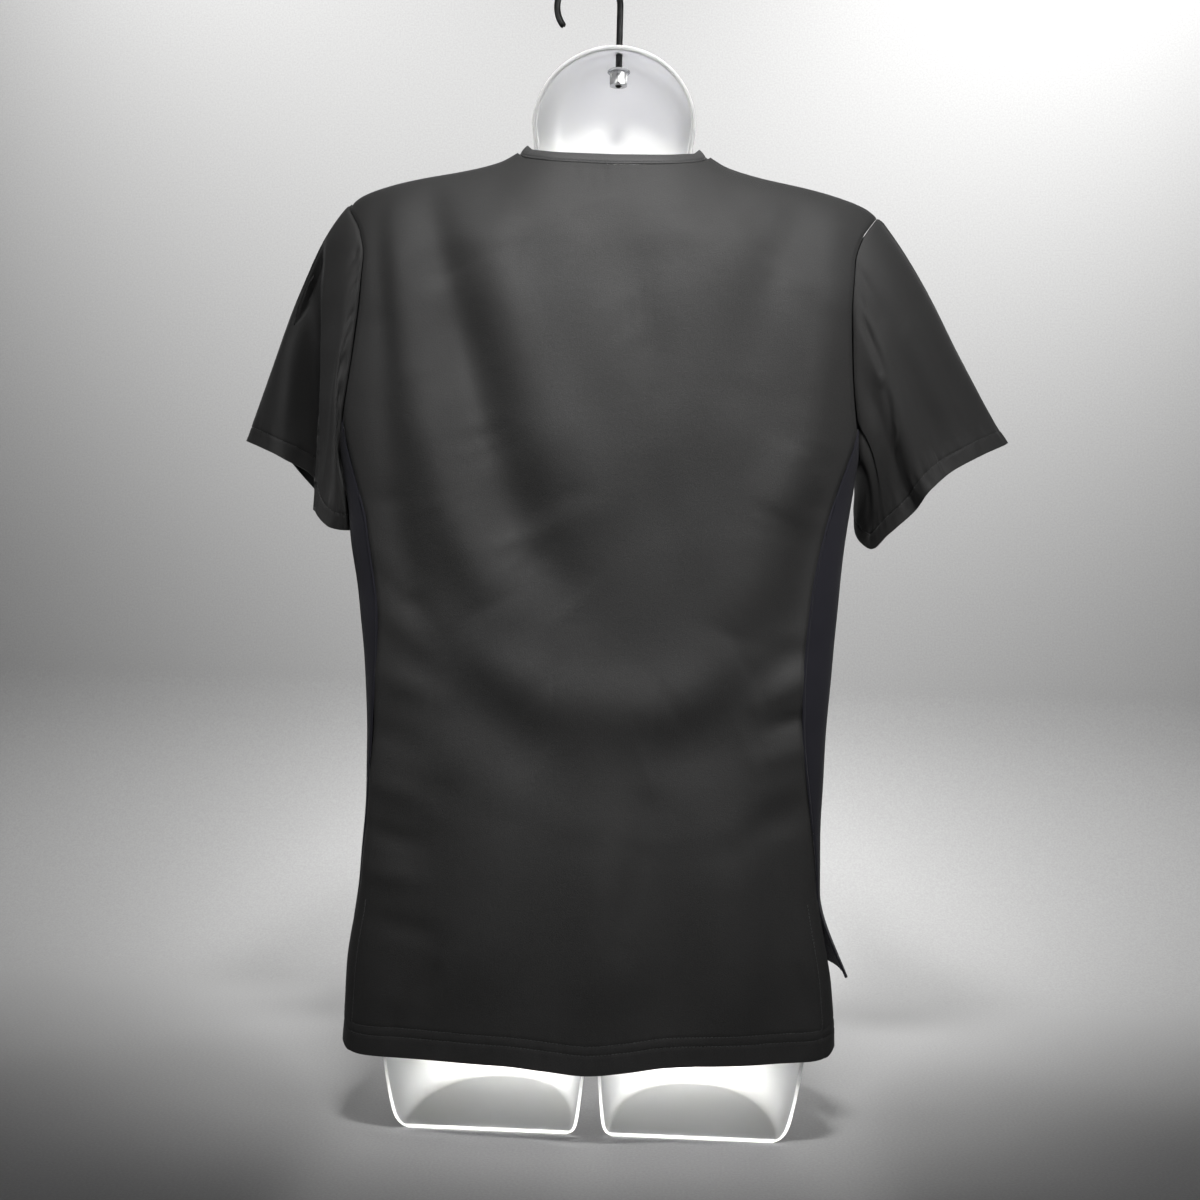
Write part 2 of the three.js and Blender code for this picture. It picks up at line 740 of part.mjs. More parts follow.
// A set-in short sleeve: threads run from the armhole loop to the hem's loop
function sleeveGrid(edge) {
  const { side, rows, columnSplit, cap, folds, hem } = sleeves[edge];
  const { capSpread, underSpread, seamLift, underFall, hemPull, axisReach, foldsFrom } = sleeveRun;
  const loop = dividedLoop(armholeLoop(edge), columnSplit);
  const clocks = clocksOf(loop);
  const around = loop.length;
  const ends = clocks.map((clock) => hemPlace(hem, clock));
  const centre = new THREE.Vector3();
  for (const end of ends) centre.addScaledVector(end, 1 / around);
  const lean = rad(cap.lean);
  const axis = new THREE.Vector3(side * Math.sin(lean), 0, -Math.cos(lean));
  const outer = [];
  for (let i = 0; i <= rows; i += 1) outer.push([]);
  for (let j = 0; j < around; j += 1) {
    const clock = clocks[j];
    const end = ends[j];
    const before = loop[(j + around - 1) % around].point;
    const after = loop[(j + 1) % around].point;
    const { point, normal } = loop[j];
    const away = normal.clone().cross(after.clone().sub(before)).normalize();
    const isInward = j === 0 ? away.x * side < 0 : away.dot(bodyAway(loop, j)) < 0;
    if (isInward) away.negate();
    const begin = point.clone().addScaledVector(away, armholeGap);
    const threadLength = begin.distanceTo(end);
    const capShare = Math.exp(-((clockAway(clock, 0) / capSpread) ** 2));
    const underShare = Math.exp(-((clockAway(clock, 180) / underSpread) ** 2));
    const leave = outAndDown(side, sleeveRun.side)
      .lerp(outAndDown(side, cap), capShare)
      .lerp(outAndDown(side, sleeveRun.under), underShare);
    leave.y += normal.y * seamLift * (1 - underShare);
    leave.normalize().multiplyScalar(threadLength * cap.reach);
    const arrive = axis.clone().lerp(new THREE.Vector3(0, 0, -1), underShare * underFall);
    arrive.normalize().multiplyScalar(threadLength * hemPull);
    for (let i = 0; i <= rows; i += 1) {
      const t = i / rows;
      const h = t * t * (3 - 2 * t);
      const p = begin.clone().multiplyScalar(1 - h).addScaledVector(end, h);
      p.addScaledVector(leave, t * (1 - t) * (1 - t));
      p.addScaledVector(arrive, t * t * (t - 1));
      const back = (1 - t) * threadLength * axisReach;
      const inward = centre.clone().addScaledVector(axis, -back).sub(p);
      inward.addScaledVector(axis, -inward.dot(axis)).normalize();
      const started = Math.min(1, t / foldsFrom);
      for (const fold of folds) {
        const near = Math.exp(-((clockAway(clock, fold.clock) / fold.spread) ** 2));
        const grown = (fold.atCap + (1 - fold.atCap) * t) * started;
        p.addScaledVector(inward, fold.depth * near * grown);
      }
      if (edge === 'left') p.y -= pleatShift(p, clock);
      outer[i].push(p);
    }
  }
  return { outer, loop };
}

// Outward directions of a tube grid from its neighbours, with the seam ring's own ones
function tubeNormals(outer, loop, side) {
  const around = outer[0].length;
  return outer.map((ring, i) => ring.map((point, j) => {
    if (i === 0) return loop[j].normal.clone();
    const next = outer[Math.min(i + 1, outer.length - 1)][j];
    const last = outer[i - 1][j];
    const down = next.clone().sub(last);
    const round = ring[(j + 1) % around].clone().sub(ring[(j + around - 1) % around]);
    return down.cross(round).normalize().multiplyScalar(side);
  }));
}

// The columns of one half of a tube grid, from crest to underarm or back again
function halfOf(grid, isBack) {
  const under = grid[0].length / 2;
  return grid.map((row) => (isBack ? row.slice(0, under + 1) : [...row.slice(under), row[0]]));
}

// A sleeve is one piece of cloth. It is drawn as a back and a front half, so that it stays open.
for (const edge of ['left', 'right']) {
  const { outer, loop } = sleeveGrid(edge);
  const normals = tubeNormals(outer, loop, sleeves[edge].side);
  for (const [half, isBack] of [['back', true], ['front', false]]) {
    const wall = wallGeometry(halfOf(outer, isBack), halfOf(normals, isBack), clothWall, false);
    addPiece(`sleeve_${edge}_${half}`, wall, 'cloth');
  }
}

// The neckline's loop: across the back, then down and up the V of the front
function necklineLoop() {
  const middle = neckColumns + shoulderColumns;
  const first = middle - neckColumns;
  const last = middle + neckColumns;
  const backTop = backGrid.outer.length - 1;
  const frontTop = frontGrid.outer.length - 1;
  const corner = (j) => between(seamPlace(backGrid, backTop, j), seamPlace(frontGrid, frontTop, j));
  const loop = [corner(last)];
  for (let j = last - 1; j > first; j -= 1) loop.push(seamPlace(backGrid, backTop, j));
  loop.push(corner(first));
  for (let j = first + 1; j < last; j += 1) loop.push(seamPlace(frontGrid, frontTop, j));
  return loop;
}

// The neckband: a bound strip that stands on from the neckline, mitred at the V
function addNeckband() {
  const loop = necklineLoop();
  const count = loop.length;
  const outer = [[], []];
  const normals = [[], []];
  for (let j = 0; j < count; j += 1) {
    const { point, normal } = loop[j];
    const before = loop[(j + count - 1) % count].point;
    const after = loop[(j + 1) % count].point;
    const fromBefore = normal.clone().cross(point.clone().sub(before)).normalize();
    const toAfter = normal.clone().cross(after.clone().sub(point)).normalize();
    const mitre = fromBefore.clone().add(toAfter).divideScalar(1 + fromBefore.dot(toAfter));
    if (mitre.z < 0) mitre.negate();
    outer[0].push(point.clone().addScaledVector(mitre, seamGap));
    outer[1].push(point.clone().addScaledVector(mitre, seamGap + bandHeight));
    normals[0].push(normal);
    normals[1].push(normal);
  }
  addPiece('neckband', wallGeometry(outer, normals, bandWall, true), 'cloth');
}

addNeckband();

// A lofted solid from rings of equal count, closed at both ends
function loftGeometry(rings) {
  const count = rings[0].length;
  const positions = [];
  for (const ring of rings) {
    for (const p of ring) positions.push(p.x, p.y, p.z);
  }
  const index = [];
  for (let i = 0; i < rings.length - 1; i += 1) {
    for (let j = 0; j < count; j += 1) {
      const k = (j + 1) % count;
      index.push(i * count + j, i * count + k, (i + 1) * count + k);
      index.push(i * count + j, (i + 1) * count + k, (i + 1) * count + j);
    }
  }
  for (const end of [0, rings.length - 1]) {
    const centre = rings[end].reduce((sum, p) => sum.add(p), new THREE.Vector3()).divideScalar(count);
    const middle = positions.length / 3;
    positions.push(centre.x, centre.y, centre.z);
    for (let j = 0; j < count; j += 1) {
      const k = (j + 1) % count;
      if (end === 0) index.push(middle, end * count + k, end * count + j);
      else index.push(middle, end * count + j, end * count + k);
    }
  }
  const geometry = new THREE.BufferGeometry();
  geometry.setAttribute('position', new THREE.Float32BufferAttribute(positions, 3));
  geometry.setIndex(index);
  return facingOut(geometry);
}

function toManifold(geometry) {
  return new wasm.Manifold(new wasm.Mesh({
    numProp: 3,
    vertProperties: new Float32Array(geometry.attributes.position.array),
    triVerts: new Uint32Array(geometry.index.array),
  }));
}

function fromManifold(solid) {
  const mesh = solid.getMesh();
  const geometry = new THREE.BufferGeometry();
  geometry.setAttribute('position', new THREE.Float32BufferAttribute(mesh.vertProperties, 3));
  geometry.setIndex([...mesh.triVerts]);
  return geometry;
}

// One ring of the form: a rounded oval round (middle, 0), drawn in by the wall for the hollow
function formRing(middle, half, front, z, inset, count) {
  const ring = [];
  for (let j = 0; j < count; j += 1) {
    const turn = j / count * 2 * Math.PI;
    const c = Math.cos(turn);
    const s = Math.sin(turn);
    ring.push(new THREE.Vector3(
      middle + (half - inset) * Math.sign(c) * Math.abs(c) ** (2 / formPower),
      (front - inset) * Math.sign(s) * Math.abs(s) ** (2 / formPower),
      z,
    ));
  }
  return ring;
}

const neck = formSections.at(-1);
const rodReach = hookRod / 2 + seamGap;

// The torso with its neck and dome, or the hollow inside it
function formBody(inset) {
  const rings = formSections.map((row, i) => {
    const z = i === 0 ? row.z + inset : row.z;
    return formRing(0, row.half, row.front, z, inset, torsoSides);
  });
  for (let i = 1; i <= domeRings; i += 1) {
    const lift = rad(i / domeRings * domeLastLift);
    const height = (formTop - domeCentre - inset) * Math.sin(lift);
    const narrow = Math.cos(lift);
    const half = (neck.half - inset) * narrow;
    const front = (domeDepth - inset) * narrow;
    rings.push(formRing(0, half, front, domeCentre + height, 0, torsoSides));
  }
  return toManifold(loftGeometry(rings));
}

function thighStub(side, inset) {
  const rings = stubSections.map((row, i) => {
    const z = i === 0 ? row.z + inset : row.z;
    return formRing(side * row.middle, row.half, row.front, z, inset, stubSides);
  });
  return toManifold(loftGeometry(rings));
}

// The hook's rod: straight up out of the dome, then bent over
function hookPath() {
  const path = new THREE.CurvePath();
  const top = new THREE.Vector3(hookX, hookY, hookStraight);
  path.add(new THREE.LineCurve3(new THREE.Vector3(hookX, hookY, hookBase), top));
  const points = [];
  for (let i = 0; i <= hookTurns; i += 1) {
    const turn = rad(hookSweep * i / hookTurns);
    points.push(new THREE.Vector3(
      hookX + hookRadius * (1 - Math.cos(turn)),
      hookY,
      hookStraight + hookRadius * Math.sin(turn),
    ));
  }
  path.add(new THREE.CatmullRomCurve3(points));
  return path;
}

// An upright round bar, as a closed loft
function barGeometry(x, y, low, high, radius, sides) {
  const ring = (z) => Array.from({ length: sides }, (_, j) => {
    const turn = (j + 0.5) / sides * 2 * Math.PI;
    return new THREE.Vector3(x + radius * Math.cos(turn), y + radius * Math.sin(turn), z);
  });
  return loftGeometry([ring(low), ring(high)]);
}

function addForm() {
  let shell = formBody(0);
  let hollow = formBody(formWall);
  for (const side of [1, -1]) {
    shell = shell.add(thighStub(side, 0));
    hollow = hollow.add(thighStub(side, formWall));
  }
  const { width, depth, height } = behindForm;
  const behind = wasm.Manifold.cube([width, depth, height]).translate([-width / 2, 0, -height / 4]);
  const rodHole = toManifold(barGeometry(hookX, hookY, neck.z, hookStraight, rodReach, rodSides));
  const form = shell.subtract(hollow).subtract(behind).subtract(rodHole);

  // The form is one moulding. It is drawn in short half pipes, so that its hollow stays open.
  for (const { name, low, high } of formLengths) {
    const length = form.trimByPlane([0, 0, 1], low).trimByPlane([0, 0, -1], -high);
    addPiece(`${name}_left`, fromManifold(length.trimByPlane([1, 0, 0], 0)), 'plastic');
    addPiece(`${name}_right`, fromManifold(length.trimByPlane([-1, 0, 0], 0)), 'plastic');
  }
  const domeBase = formLengths.at(-1).high;
  addPiece('form_dome', fromManifold(form.trimByPlane([0, 0, 1], domeBase)), 'plastic');
}

addForm();

// The hook, a bent steel rod through the top of the dome
function addHook() {
  const section = new THREE.Shape();
  section.absarc(0, 0, hookRod / 2, 0, 2 * Math.PI, false);
  const rod = new THREE.ExtrudeGeometry(section, {
    steps: hookSteps,
    bevelEnabled: false,
    curveSegments: 5,
    extrudePath: hookPath(),
  });
  for (const name of ['normal', 'uv']) rod.deleteAttribute(name);
  addPiece('form_hook', rod, 'darkSteel');
}

addHook();

// A ring round the rod: the hex nut or the clear washer under the dome's top
function addRing(name, low, high, radius, sides, look) {
  const solid = toManifold(barGeometry(hookX, hookY, low, high, radius, sides));
  const bore = toManifold(barGeometry(hookX, hookY, low - 1, high + 1, rodReach, rodSides));
  addPiece(name, fromManifold(solid.subtract(bore)), look);
}

const washerTop = formTop - washerDrop;
addRing('hook_washer', washerTop - washerHeight, washerTop, washerRadius, washerSides, 'plastic');
const nutTop = washerTop - washerHeight - seamGap;
addRing('hook_nut', nutTop - nutHeight, nutTop, nutAcross / Math.sqrt(3), 6, 'steel');

export default group;
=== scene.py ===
# %% [markdown]
# # A scrub top on a hollow torso form
# This lesson dresses a plain model of a nurse's top in real cloth. The top hangs on a white
# moulded form that stands on its two thigh stubs. The plain model gives every size and place.
# What is added here is thin cloth with its creases, seams, hems and stitches, and plastic.
# %% Load the plain model and keep its size
import math
import bpy
import numpy as np
from mathutils import Matrix, Vector


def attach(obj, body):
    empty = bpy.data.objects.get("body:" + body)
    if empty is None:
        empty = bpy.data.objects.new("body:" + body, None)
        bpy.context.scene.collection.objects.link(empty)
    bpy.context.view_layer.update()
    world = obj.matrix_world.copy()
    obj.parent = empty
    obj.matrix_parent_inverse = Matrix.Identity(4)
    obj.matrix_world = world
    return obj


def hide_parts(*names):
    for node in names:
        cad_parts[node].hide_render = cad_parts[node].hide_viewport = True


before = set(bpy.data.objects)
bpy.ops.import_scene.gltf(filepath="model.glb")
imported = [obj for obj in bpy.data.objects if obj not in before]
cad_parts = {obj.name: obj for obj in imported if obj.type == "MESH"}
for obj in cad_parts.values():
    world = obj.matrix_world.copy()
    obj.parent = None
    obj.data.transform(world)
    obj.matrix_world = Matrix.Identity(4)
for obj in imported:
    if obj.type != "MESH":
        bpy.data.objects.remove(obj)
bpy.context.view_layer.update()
print("nodes:", sorted(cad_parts))

# %% [markdown]
# ## The camera
# The photograph was taken from behind, a little to the wearer's right, at the height of the
# waist and about 1.2 m away, and it leans by a degree or so. The camera is set up first, so
# that every later choice can be judged from it.
# %% Place the camera
# Lengths in this file are in millimetres round the form's own rim, where y = 0
middle = np.array([-9.9, -62.3, 0.0])


def to_row(points):
    """Millimetres at the form's rim to metres in the model's frame."""
    return (np.asarray(points, float) - middle) / 1000


camera_place = (-62.3, 1148.4, 401.5)
camera_aim = (0.0, -40.0, 401.5)
camera_lean = 1.4
camera_data = bpy.data.cameras.new("photo_camera")
camera_data.lens = 46.0
camera_data.sensor_width = 36.0
camera_data.shift_x = -5 / 1200
camera = bpy.data.objects.new("photo_camera", camera_data)
bpy.context.scene.collection.objects.link(camera)
sight = Vector(to_row(camera_aim)) - Vector(to_row(camera_place))
turn = sight.to_track_quat("-Z", "Y").to_matrix().to_4x4()
lean = Matrix.Rotation(math.radians(camera_lean), 4, "Z")
camera.matrix_world = Matrix.Translation(to_row(camera_place)) @ turn @ lean
camera_data.clip_end = 20
bpy.context.scene.camera = camera
print("camera at", [round(v, 3) for v in camera.matrix_world.translation])

# %% [markdown]
# ## The sizes of the top
# These tables are the pattern of the top, the same as in the plain model: the outline at each
# height, the crest of the shoulders, the neckline, the side seams, the armholes and the hem.
# A smooth curve through each column gives the size at any height.
# %% Give the tables of the pattern
# z, half width, sideways shift, depth to the front, depth to the back
torso_sections = (
    (40, 186, 2.5, -151, 44),
    (120, 182, 4, -151, 41),
    (193, 172.5, 5.2, -152, 34),
    (265, 171, 3.5, -150, 27),
    (355, 175.5, 3.2, -150, 24),
    (451, 186, 5.8, -160, 31),
    (530, 196, 6, -168, 39),
    (610, 200, 3.5, -150, 42),
    (660, 201, 1, -118, 39),
    (700, 202, 0, -88, 30),
    (770, 202, 0, -55, 6),
)
# x, z
shoulder_crest = (
    (0, 772),
    (40, 761),
    (73, 738.5),
    (86, 731),
    (108, 724.5),
    (150, 716),
    (175, 709),
    (190, 703),
    (200, 696),
)
back_neckline = ((0, 723), (40, 725), (62, 729), (69, 732), (73, 738.5))
# z, bearing of the back seam on the left, on the right, and of the front seam
side_seams = (
    (40, 88, 87, 118),
    (190, 86, 80, 117),
    (265, 80, 69, 116),
    (310, 75, 63.5, 116),
    (355, 70, 61.5, 116),
    (400, 66, 62, 116),
    (451, 66.5, 65, 114),
    (490, 71, 70, 112),
    (532, 78, 80, 108),
)
# z, half width across the armholes on the back and on the front
armhole_edges = (
    (532, 192, 186),
    (565, 187, 176),
    (595, 184, 172),
    (625, 182, 172),
    (651, 182, 176),
    (672, 187, 184),
    (694, 200, 200),
)
back_hem = ((-30, 60), (0, 57.5), (30, 60), (60, 63), (130, 65), (165, 64.5), (178, 66), (186, 73))
cloth_wall = 1.1
hem_wall = 1.5
seam_gap = 0.3
armhole_gap = 0.15
band_height = 9
side_panel_hem = 127
vent_top = 186
armhole_notch = 532
underarm = 508
neck_half = 73
neck_vee_bottom = 596
neck_vee_power = 1.08
shoulder_line_y = -14
shoulder_round = 85
shoulder_power = 2.2
shoulder_tilt = 0.016
hem_tilt = 0.023
back_power = 0.75
front_power = 0.9
vent_flare = {1: 0, -1: 12}
flare_start = 0.55
flare_power = 1.5
side_margin = 0.12


def curve(rows, column):
    """A smooth curve through one column of a table that never overshoots its rows."""
    keys = np.array([row[0] for row in rows], float)
    values = np.array([row[column] for row in rows], float)
    runs = np.diff(keys)
    steps = np.diff(values) / runs
    slopes = np.concatenate([steps[:1], np.zeros(len(rows) - 2), steps[-1:]])
    for i in range(1, len(rows) - 1):
        before, after = steps[i - 1], steps[i]
        if before * after > 0:
            slopes[i] = 2 * before * after / (before + after)

    def at(places):
        p = np.clip(np.asarray(places, float), keys[0], keys[-1])
        i = np.clip(np.searchsorted(keys, p, side="right") - 1, 0, len(runs) - 1)
        t = (p - keys[i]) / runs[i]
        rise = t * t * (3 - 2 * t)
        leaving = t * (1 - t) ** 2 * slopes[i]
        arriving = t * t * (t - 1) * slopes[i + 1]
        return values[i] * (1 - rise) + values[i + 1] * rise + runs[i] * (leaving + arriving)

    return at


half_at, shift_at, front_at, back_at = (curve(torso_sections, k) for k in (1, 2, 3, 4))
level_crest_at = curve(shoulder_crest, 1)
back_neck_at = curve(back_neckline, 1)
back_hem_at = curve(back_hem, 1)
seam_left_at, seam_right_at, seam_front_at = (curve(side_seams, k) for k in (1, 2, 3))
arm_back_at, arm_front_at = curve(armhole_edges, 1), curve(armhole_edges, 2)
print("chest round at the underarm:", round(float(half_at(508)) * 2), "mm across")

# %% [markdown]
# ## Creases
# Real cloth never hangs flat. It falls from the shoulder blades in long soft folds, drags
# from the armholes and ripples where the side seams pull. Each crease here is listed:
# a line on the cloth with a width and a depth. A depth above nought is a trough and one below
# it is a ridge. A simulation would crease the cloth too, but not where this top has creases.
# %% Say how a crease fades
def crease_depth(creases, x, z):
    """Sum of the creases at the points (x, z): full on each line, faded at its ends."""
    total = np.zeros_like(x)
    for x0, z0, x1, z1, spread, depth in creases:
        dx, dz = x1 - x0, z1 - z0
        along = ((x - x0) * dx + (z - z0) * dz) / (dx * dx + dz * dz)
        nearest = np.clip(along, 0, 1)
        away = np.hypot(x - x0 - nearest * dx, z - z0 - nearest * dz)
        fade = np.sin(np.pi * np.clip(nearest, fold_fade, 1 - fold_fade)) ** 0.5
        total = total + depth * fade * np.exp(-((away / spread) ** 2))
    return total


fold_fade = 0.08
# The large folds of the back: x0, z0, x1, z1, spread, depth
back_folds = (
    (140, 712, 120, 640, 15, 7),
    (120, 640, 86, 520, 19, 13),
    (88, 520, 57, 440, 24, 9.5),
    (57, 440, 14, 394, 26, 4.5),
    (168, 690, 146, 560, 15, -4),
    (146, 560, 118, 470, 18, -6),
    (118, 470, 78, 390, 22, -6),
    (84, 660, 54, 560, 20, -5),
    (54, 560, 20, 470, 24, -4.5),
    (168, 600, 156, 470, 12, 4),
    (156, 470, 140, 400, 14, 5),
    (174, 696, 160, 560, 8, 4),
    (-166, 690, -163, 620, 15, -4),
    (-163, 620, -150, 519, 18, -7),
    (-150, 519, -124, 460, 22, -8.5),
    (-124, 460, -96, 370, 24, -7.5),
    (-146, 706, -120, 640, 18, 5),
    (-120, 640, -100, 560, 20, 4),
    (-158, 470, -142, 370, 14, 5),
    (8, 700, -20, 620, 26, 3.5),
    (-20, 620, -36, 560, 20, 3),
    (110, 376, 40, 328, 22, -5),
    (40, 328, -50, 322, 26, -4.5),
    (-50, 322, -112, 360, 22, -5),
    (120, 334, 30, 276, 26, 4.5),
    (-30, 274, -112, 306, 26, 4.5),
    (118, 250, 146, 90, 20, 7),
    (60, 250, 84, 90, 24, -4),
    (20, 250, 26, 80, 28, 2.4),
    (-10, 260, -14, 70, 28, -2.2),
    (-44, 240, -62, 70, 24, 5.5),
    (-96, 230, -110, 70, 22, -4),
    (-134, 240, -146, 80, 18, 6),
)
front_folds = (
    (90, 520, 104, 140, 16, 6),
    (40, 440, 36, 125, 14, 4),
    (-30, 430, -44, 130, 15, 5),
    (-96, 525, -108, 150, 17, 6),
)
# The smaller creases of the back, as the photograph shows them
back_creases = (
    (-98, 694, -124, 644, 12, 1.2),
    (-9, 600, -32, 620, 2.6, 0.8),
    (-13, 594, -30, 600, 5, -0.6),
    (-142, 501, -166, 502.5, 1.8, 0.5),
    (77, 649.5, 64, 649, 1.6, 0.4),
    (171, 420, 116, 374, 9, 1.2),
    (168, 394, 120, 352, 8, -0.8),
    (160, 342, 120, 326, 12, -2.4),
    (172, 300, 128, 286, 12, 1.6),
    (172, 262, 126, 250, 10, -1.8),
    (172, 226, 128, 216, 8, 1.5),
    (170, 196, 128, 190, 9, -1.6),
    (164, 160, 108, 150, 9, 1.4),
    (112, 140, 126, 96, 8, 2.2),
    (-160, 372, -120, 352, 10, 1.6),
    (-158, 350, -118, 328, 10, -2.6),
    (-160, 320, -128, 311, 6, 2.4),
    (-158, 298, -120, 286, 10, -2),
    (-160, 262, -104, 222, 14, 2.2),
    (-152, 132, -164, 96, 5, 1.6),
    (-6, 230, -6, 90, 34, -3),
    (-40, 250, -22, 150, 12, 1.6),
    (30, 560, 2, 470, 14, -1.2),
    (-30, 520, -52, 430, 16, 1.4),
)
# Little puckers where the back is eased into the neckband: x, length, spread, depth.
# They start softly over the first few millimetres and are all a little deeper than listed
pucker_start = 4
pucker_strength = 1.5
neck_puckers = (
    (31, 9, 1.5, 0.4),
    (26, 20, 1.8, 0.7),
    (20.5, 12, 1.3, 0.55),
    (15, 27, 2, 0.6),
    (9, 14, 1.4, 0.5),
    (4, 34, 2.4, 0.6),
    (-2.5, 16, 1.5, 0.7),
    (-8, 25, 1.8, 0.5),
    (-13.5, 11, 1.3, 0.6),
    (-19, 19, 1.7, 0.65),
    (-25, 8, 1.4, 0.35),
)
front_creases = (
    (-150, 690, -96, 560, 16, 2),
    (150, 690, 92, 575, 15, 2.2),
    (-60, 640, -88, 540, 12, -1.4),
    (58, 640, 84, 520, 13, -1.6),
    (-150, 480, -40, 430, 16, 2),
    (152, 470, 52, 438, 14, 1.8),
    (-140, 360, -58, 330, 13, -1.5),
    (138, 350, 66, 318, 12, -1.4),
    (4, 560, 2, 300, 26, -2),
    (-66, 400, -74, 160, 13, -1.6),
    (68, 430, 74, 170, 14, -1.8),
    (-10, 300, -4, 140, 12, 1.5),
)


def ripple(x, z, height, length, seed):
    """Faint unevenness of hand-pressed cloth: a few waves that cross at random angles."""
    chance = np.random.RandomState(seed)
    total = np.zeros_like(x)
    for _ in range(9):
        angle, phase = chance.uniform(0, math.pi), chance.uniform(0, 2 * math.pi)
        wave = length * chance.uniform(0.7, 1.6)
        across = x * math.cos(angle) + z * math.sin(angle)
        total = total + np.sin(across * 2 * math.pi / wave + phase)
    return total * height / 3


print(len(back_creases) + len(front_creases), "creases and", len(neck_puckers), "puckers")

# %% [markdown]
# ## The shape of the worn top
# At each height the top is a rounded section, deeper at the bust than at the back. Near the
# shoulders the section closes over the crest. Below the side vents the front half hangs free.
# %% Find a point of the worn top
def crest_at(x):
    tip = shoulder_crest[-1][0]
    within = np.clip(x, -tip, tip)
    return level_crest_at(np.abs(within)) + shoulder_tilt * within


def torso_point(bearing, z, is_free=False):
    """A point at a bearing (degrees from the middle of the back) and a height."""
    bearing, z = np.broadcast_arrays(np.asarray(bearing, float), np.asarray(z, float))
    sideways, facing = np.sin(np.radians(bearing)), np.cos(np.radians(bearing))
    is_back = facing >= 0
    reach = np.maximum(np.abs(facing), 1e-9)
    full_x = half_at(z) * sideways
    x = full_x + shift_at(z)
    back_y = back_at(z) * reach ** back_power - crease_depth(back_folds, x, z) * reach ** 0.5
    front_y = front_at(z) * reach ** front_power + crease_depth(front_folds, x, z) * reach ** 0.5
    y = np.where(is_back, back_y, front_y)
    below = np.clip((crest_at(full_x) - z) / shoulder_round, 0, 1)
    fill = (1 - (1 - below) ** shoulder_power) ** (1 / shoulder_power)
    y = shoulder_line_y + (y - shoulder_line_y) * fill
    if is_free:
        flare = np.where(sideways > 0, vent_flare[1], vent_flare[-1])
        drop = np.clip((vent_top - z) / (vent_top - side_panel_hem), 0, None)
        near_side = np.clip((np.abs(sideways) - flare_start) / (1 - flare_start), 0, 1)
        x = x + np.sign(sideways) * flare * (drop * near_side) ** flare_power
    return np.stack([x, y, z], axis=-1)


def panel_edge(z, side, is_back):
    """Half the width of the back or front panel at a height, on one side."""
    seam = seam_left_at if side > 0 else seam_right_at
    bearing = seam(z) if is_back else 180 - seam_front_at(z)
    low = half_at(z) * np.sin(np.radians(bearing))
    high = arm_back_at(z) if is_back else arm_front_at(z)
    return np.where(z < armhole_notch, low, high)


def panel_top(x, is_back):
    away = np.abs(x)
    if is_back:
        neck = back_neck_at(away) + shoulder_tilt * x
    else:
        shoulder = crest_at(np.sign(x) * neck_half)
        rise = np.clip(away / neck_half, 0, 1) ** neck_vee_power
        neck = neck_vee_bottom + (shoulder - neck_vee_bottom) * rise
    return np.where(away >= neck_half, crest_at(x), neck)


def column_top(share, side, is_back):
    """The height where the column at a share of the half width meets the top edge."""
    low, high = (armhole_edges[-2][0] if is_back else armhole_edges[1][0]), shoulder_crest[1][1]
    for _ in range(40):
        z = (low + high) / 2
        is_below = panel_top(side * share * panel_edge(z, side, is_back), is_back) > z
        low, high = (z, high) if is_below else (low, z)
    return low


print("top of the shoulder by the neck:", round(column_top(neck_half / 200, 1, True), 1))

# %% [markdown]
# ## From points to cloth
# Each piece of cloth is a grid of points on its outer face. A second layer a millimetre
# inside it makes the thickness, and strips close the edges. A map in metres is kept on the
# cloth, so that the weave later runs along the threads as on a real cut piece.
# %% Build a wall of cloth from a grid
def unit(vectors):
    return vectors / np.maximum(np.linalg.norm(vectors, axis=-1, keepdims=True), 1e-12)


def grid_normals(points, outward, is_tube=False):
    """Directions square to a grid, turned to the side that the outward ones name."""
    if is_tube:
        wrapped = np.concatenate([points[:, -1:], points, points[:, :1]], axis=1)
        across = (wrapped[:, 2:] - wrapped[:, :-2])
    else:
        across = np.gradient(points, axis=1)
    found = unit(np.cross(across, np.gradient(points, axis=0)))
    return found * np.sign((found * outward).sum(-1, keepdims=True))


def lengths_along(points, axis):
    """Distance along each thread of a grid from its first point."""
    steps = np.linalg.norm(np.diff(points, axis=axis), axis=-1)
    start = np.zeros_like(np.take(steps, [0], axis=axis))
    return np.concatenate([start, np.cumsum(steps, axis=axis)], axis=axis)


def cloth_area(points, is_tube=False):
    """Area of a grid in square metres."""
    if is_tube:
        points = np.concatenate([points, points[:, :1]], axis=1)
    first = np.cross(points[1:, 1:] - points[:-1, :-1], points[:-1, 1:] - points[1:, :-1])
    return float(np.linalg.norm(first, axis=-1).sum() / 2e6)


def new_object(name, mesh, material):
    mesh.materials.append(material)
    made = bpy.data.objects.new(name, mesh)
    bpy.context.scene.collection.objects.link(made)
    return made


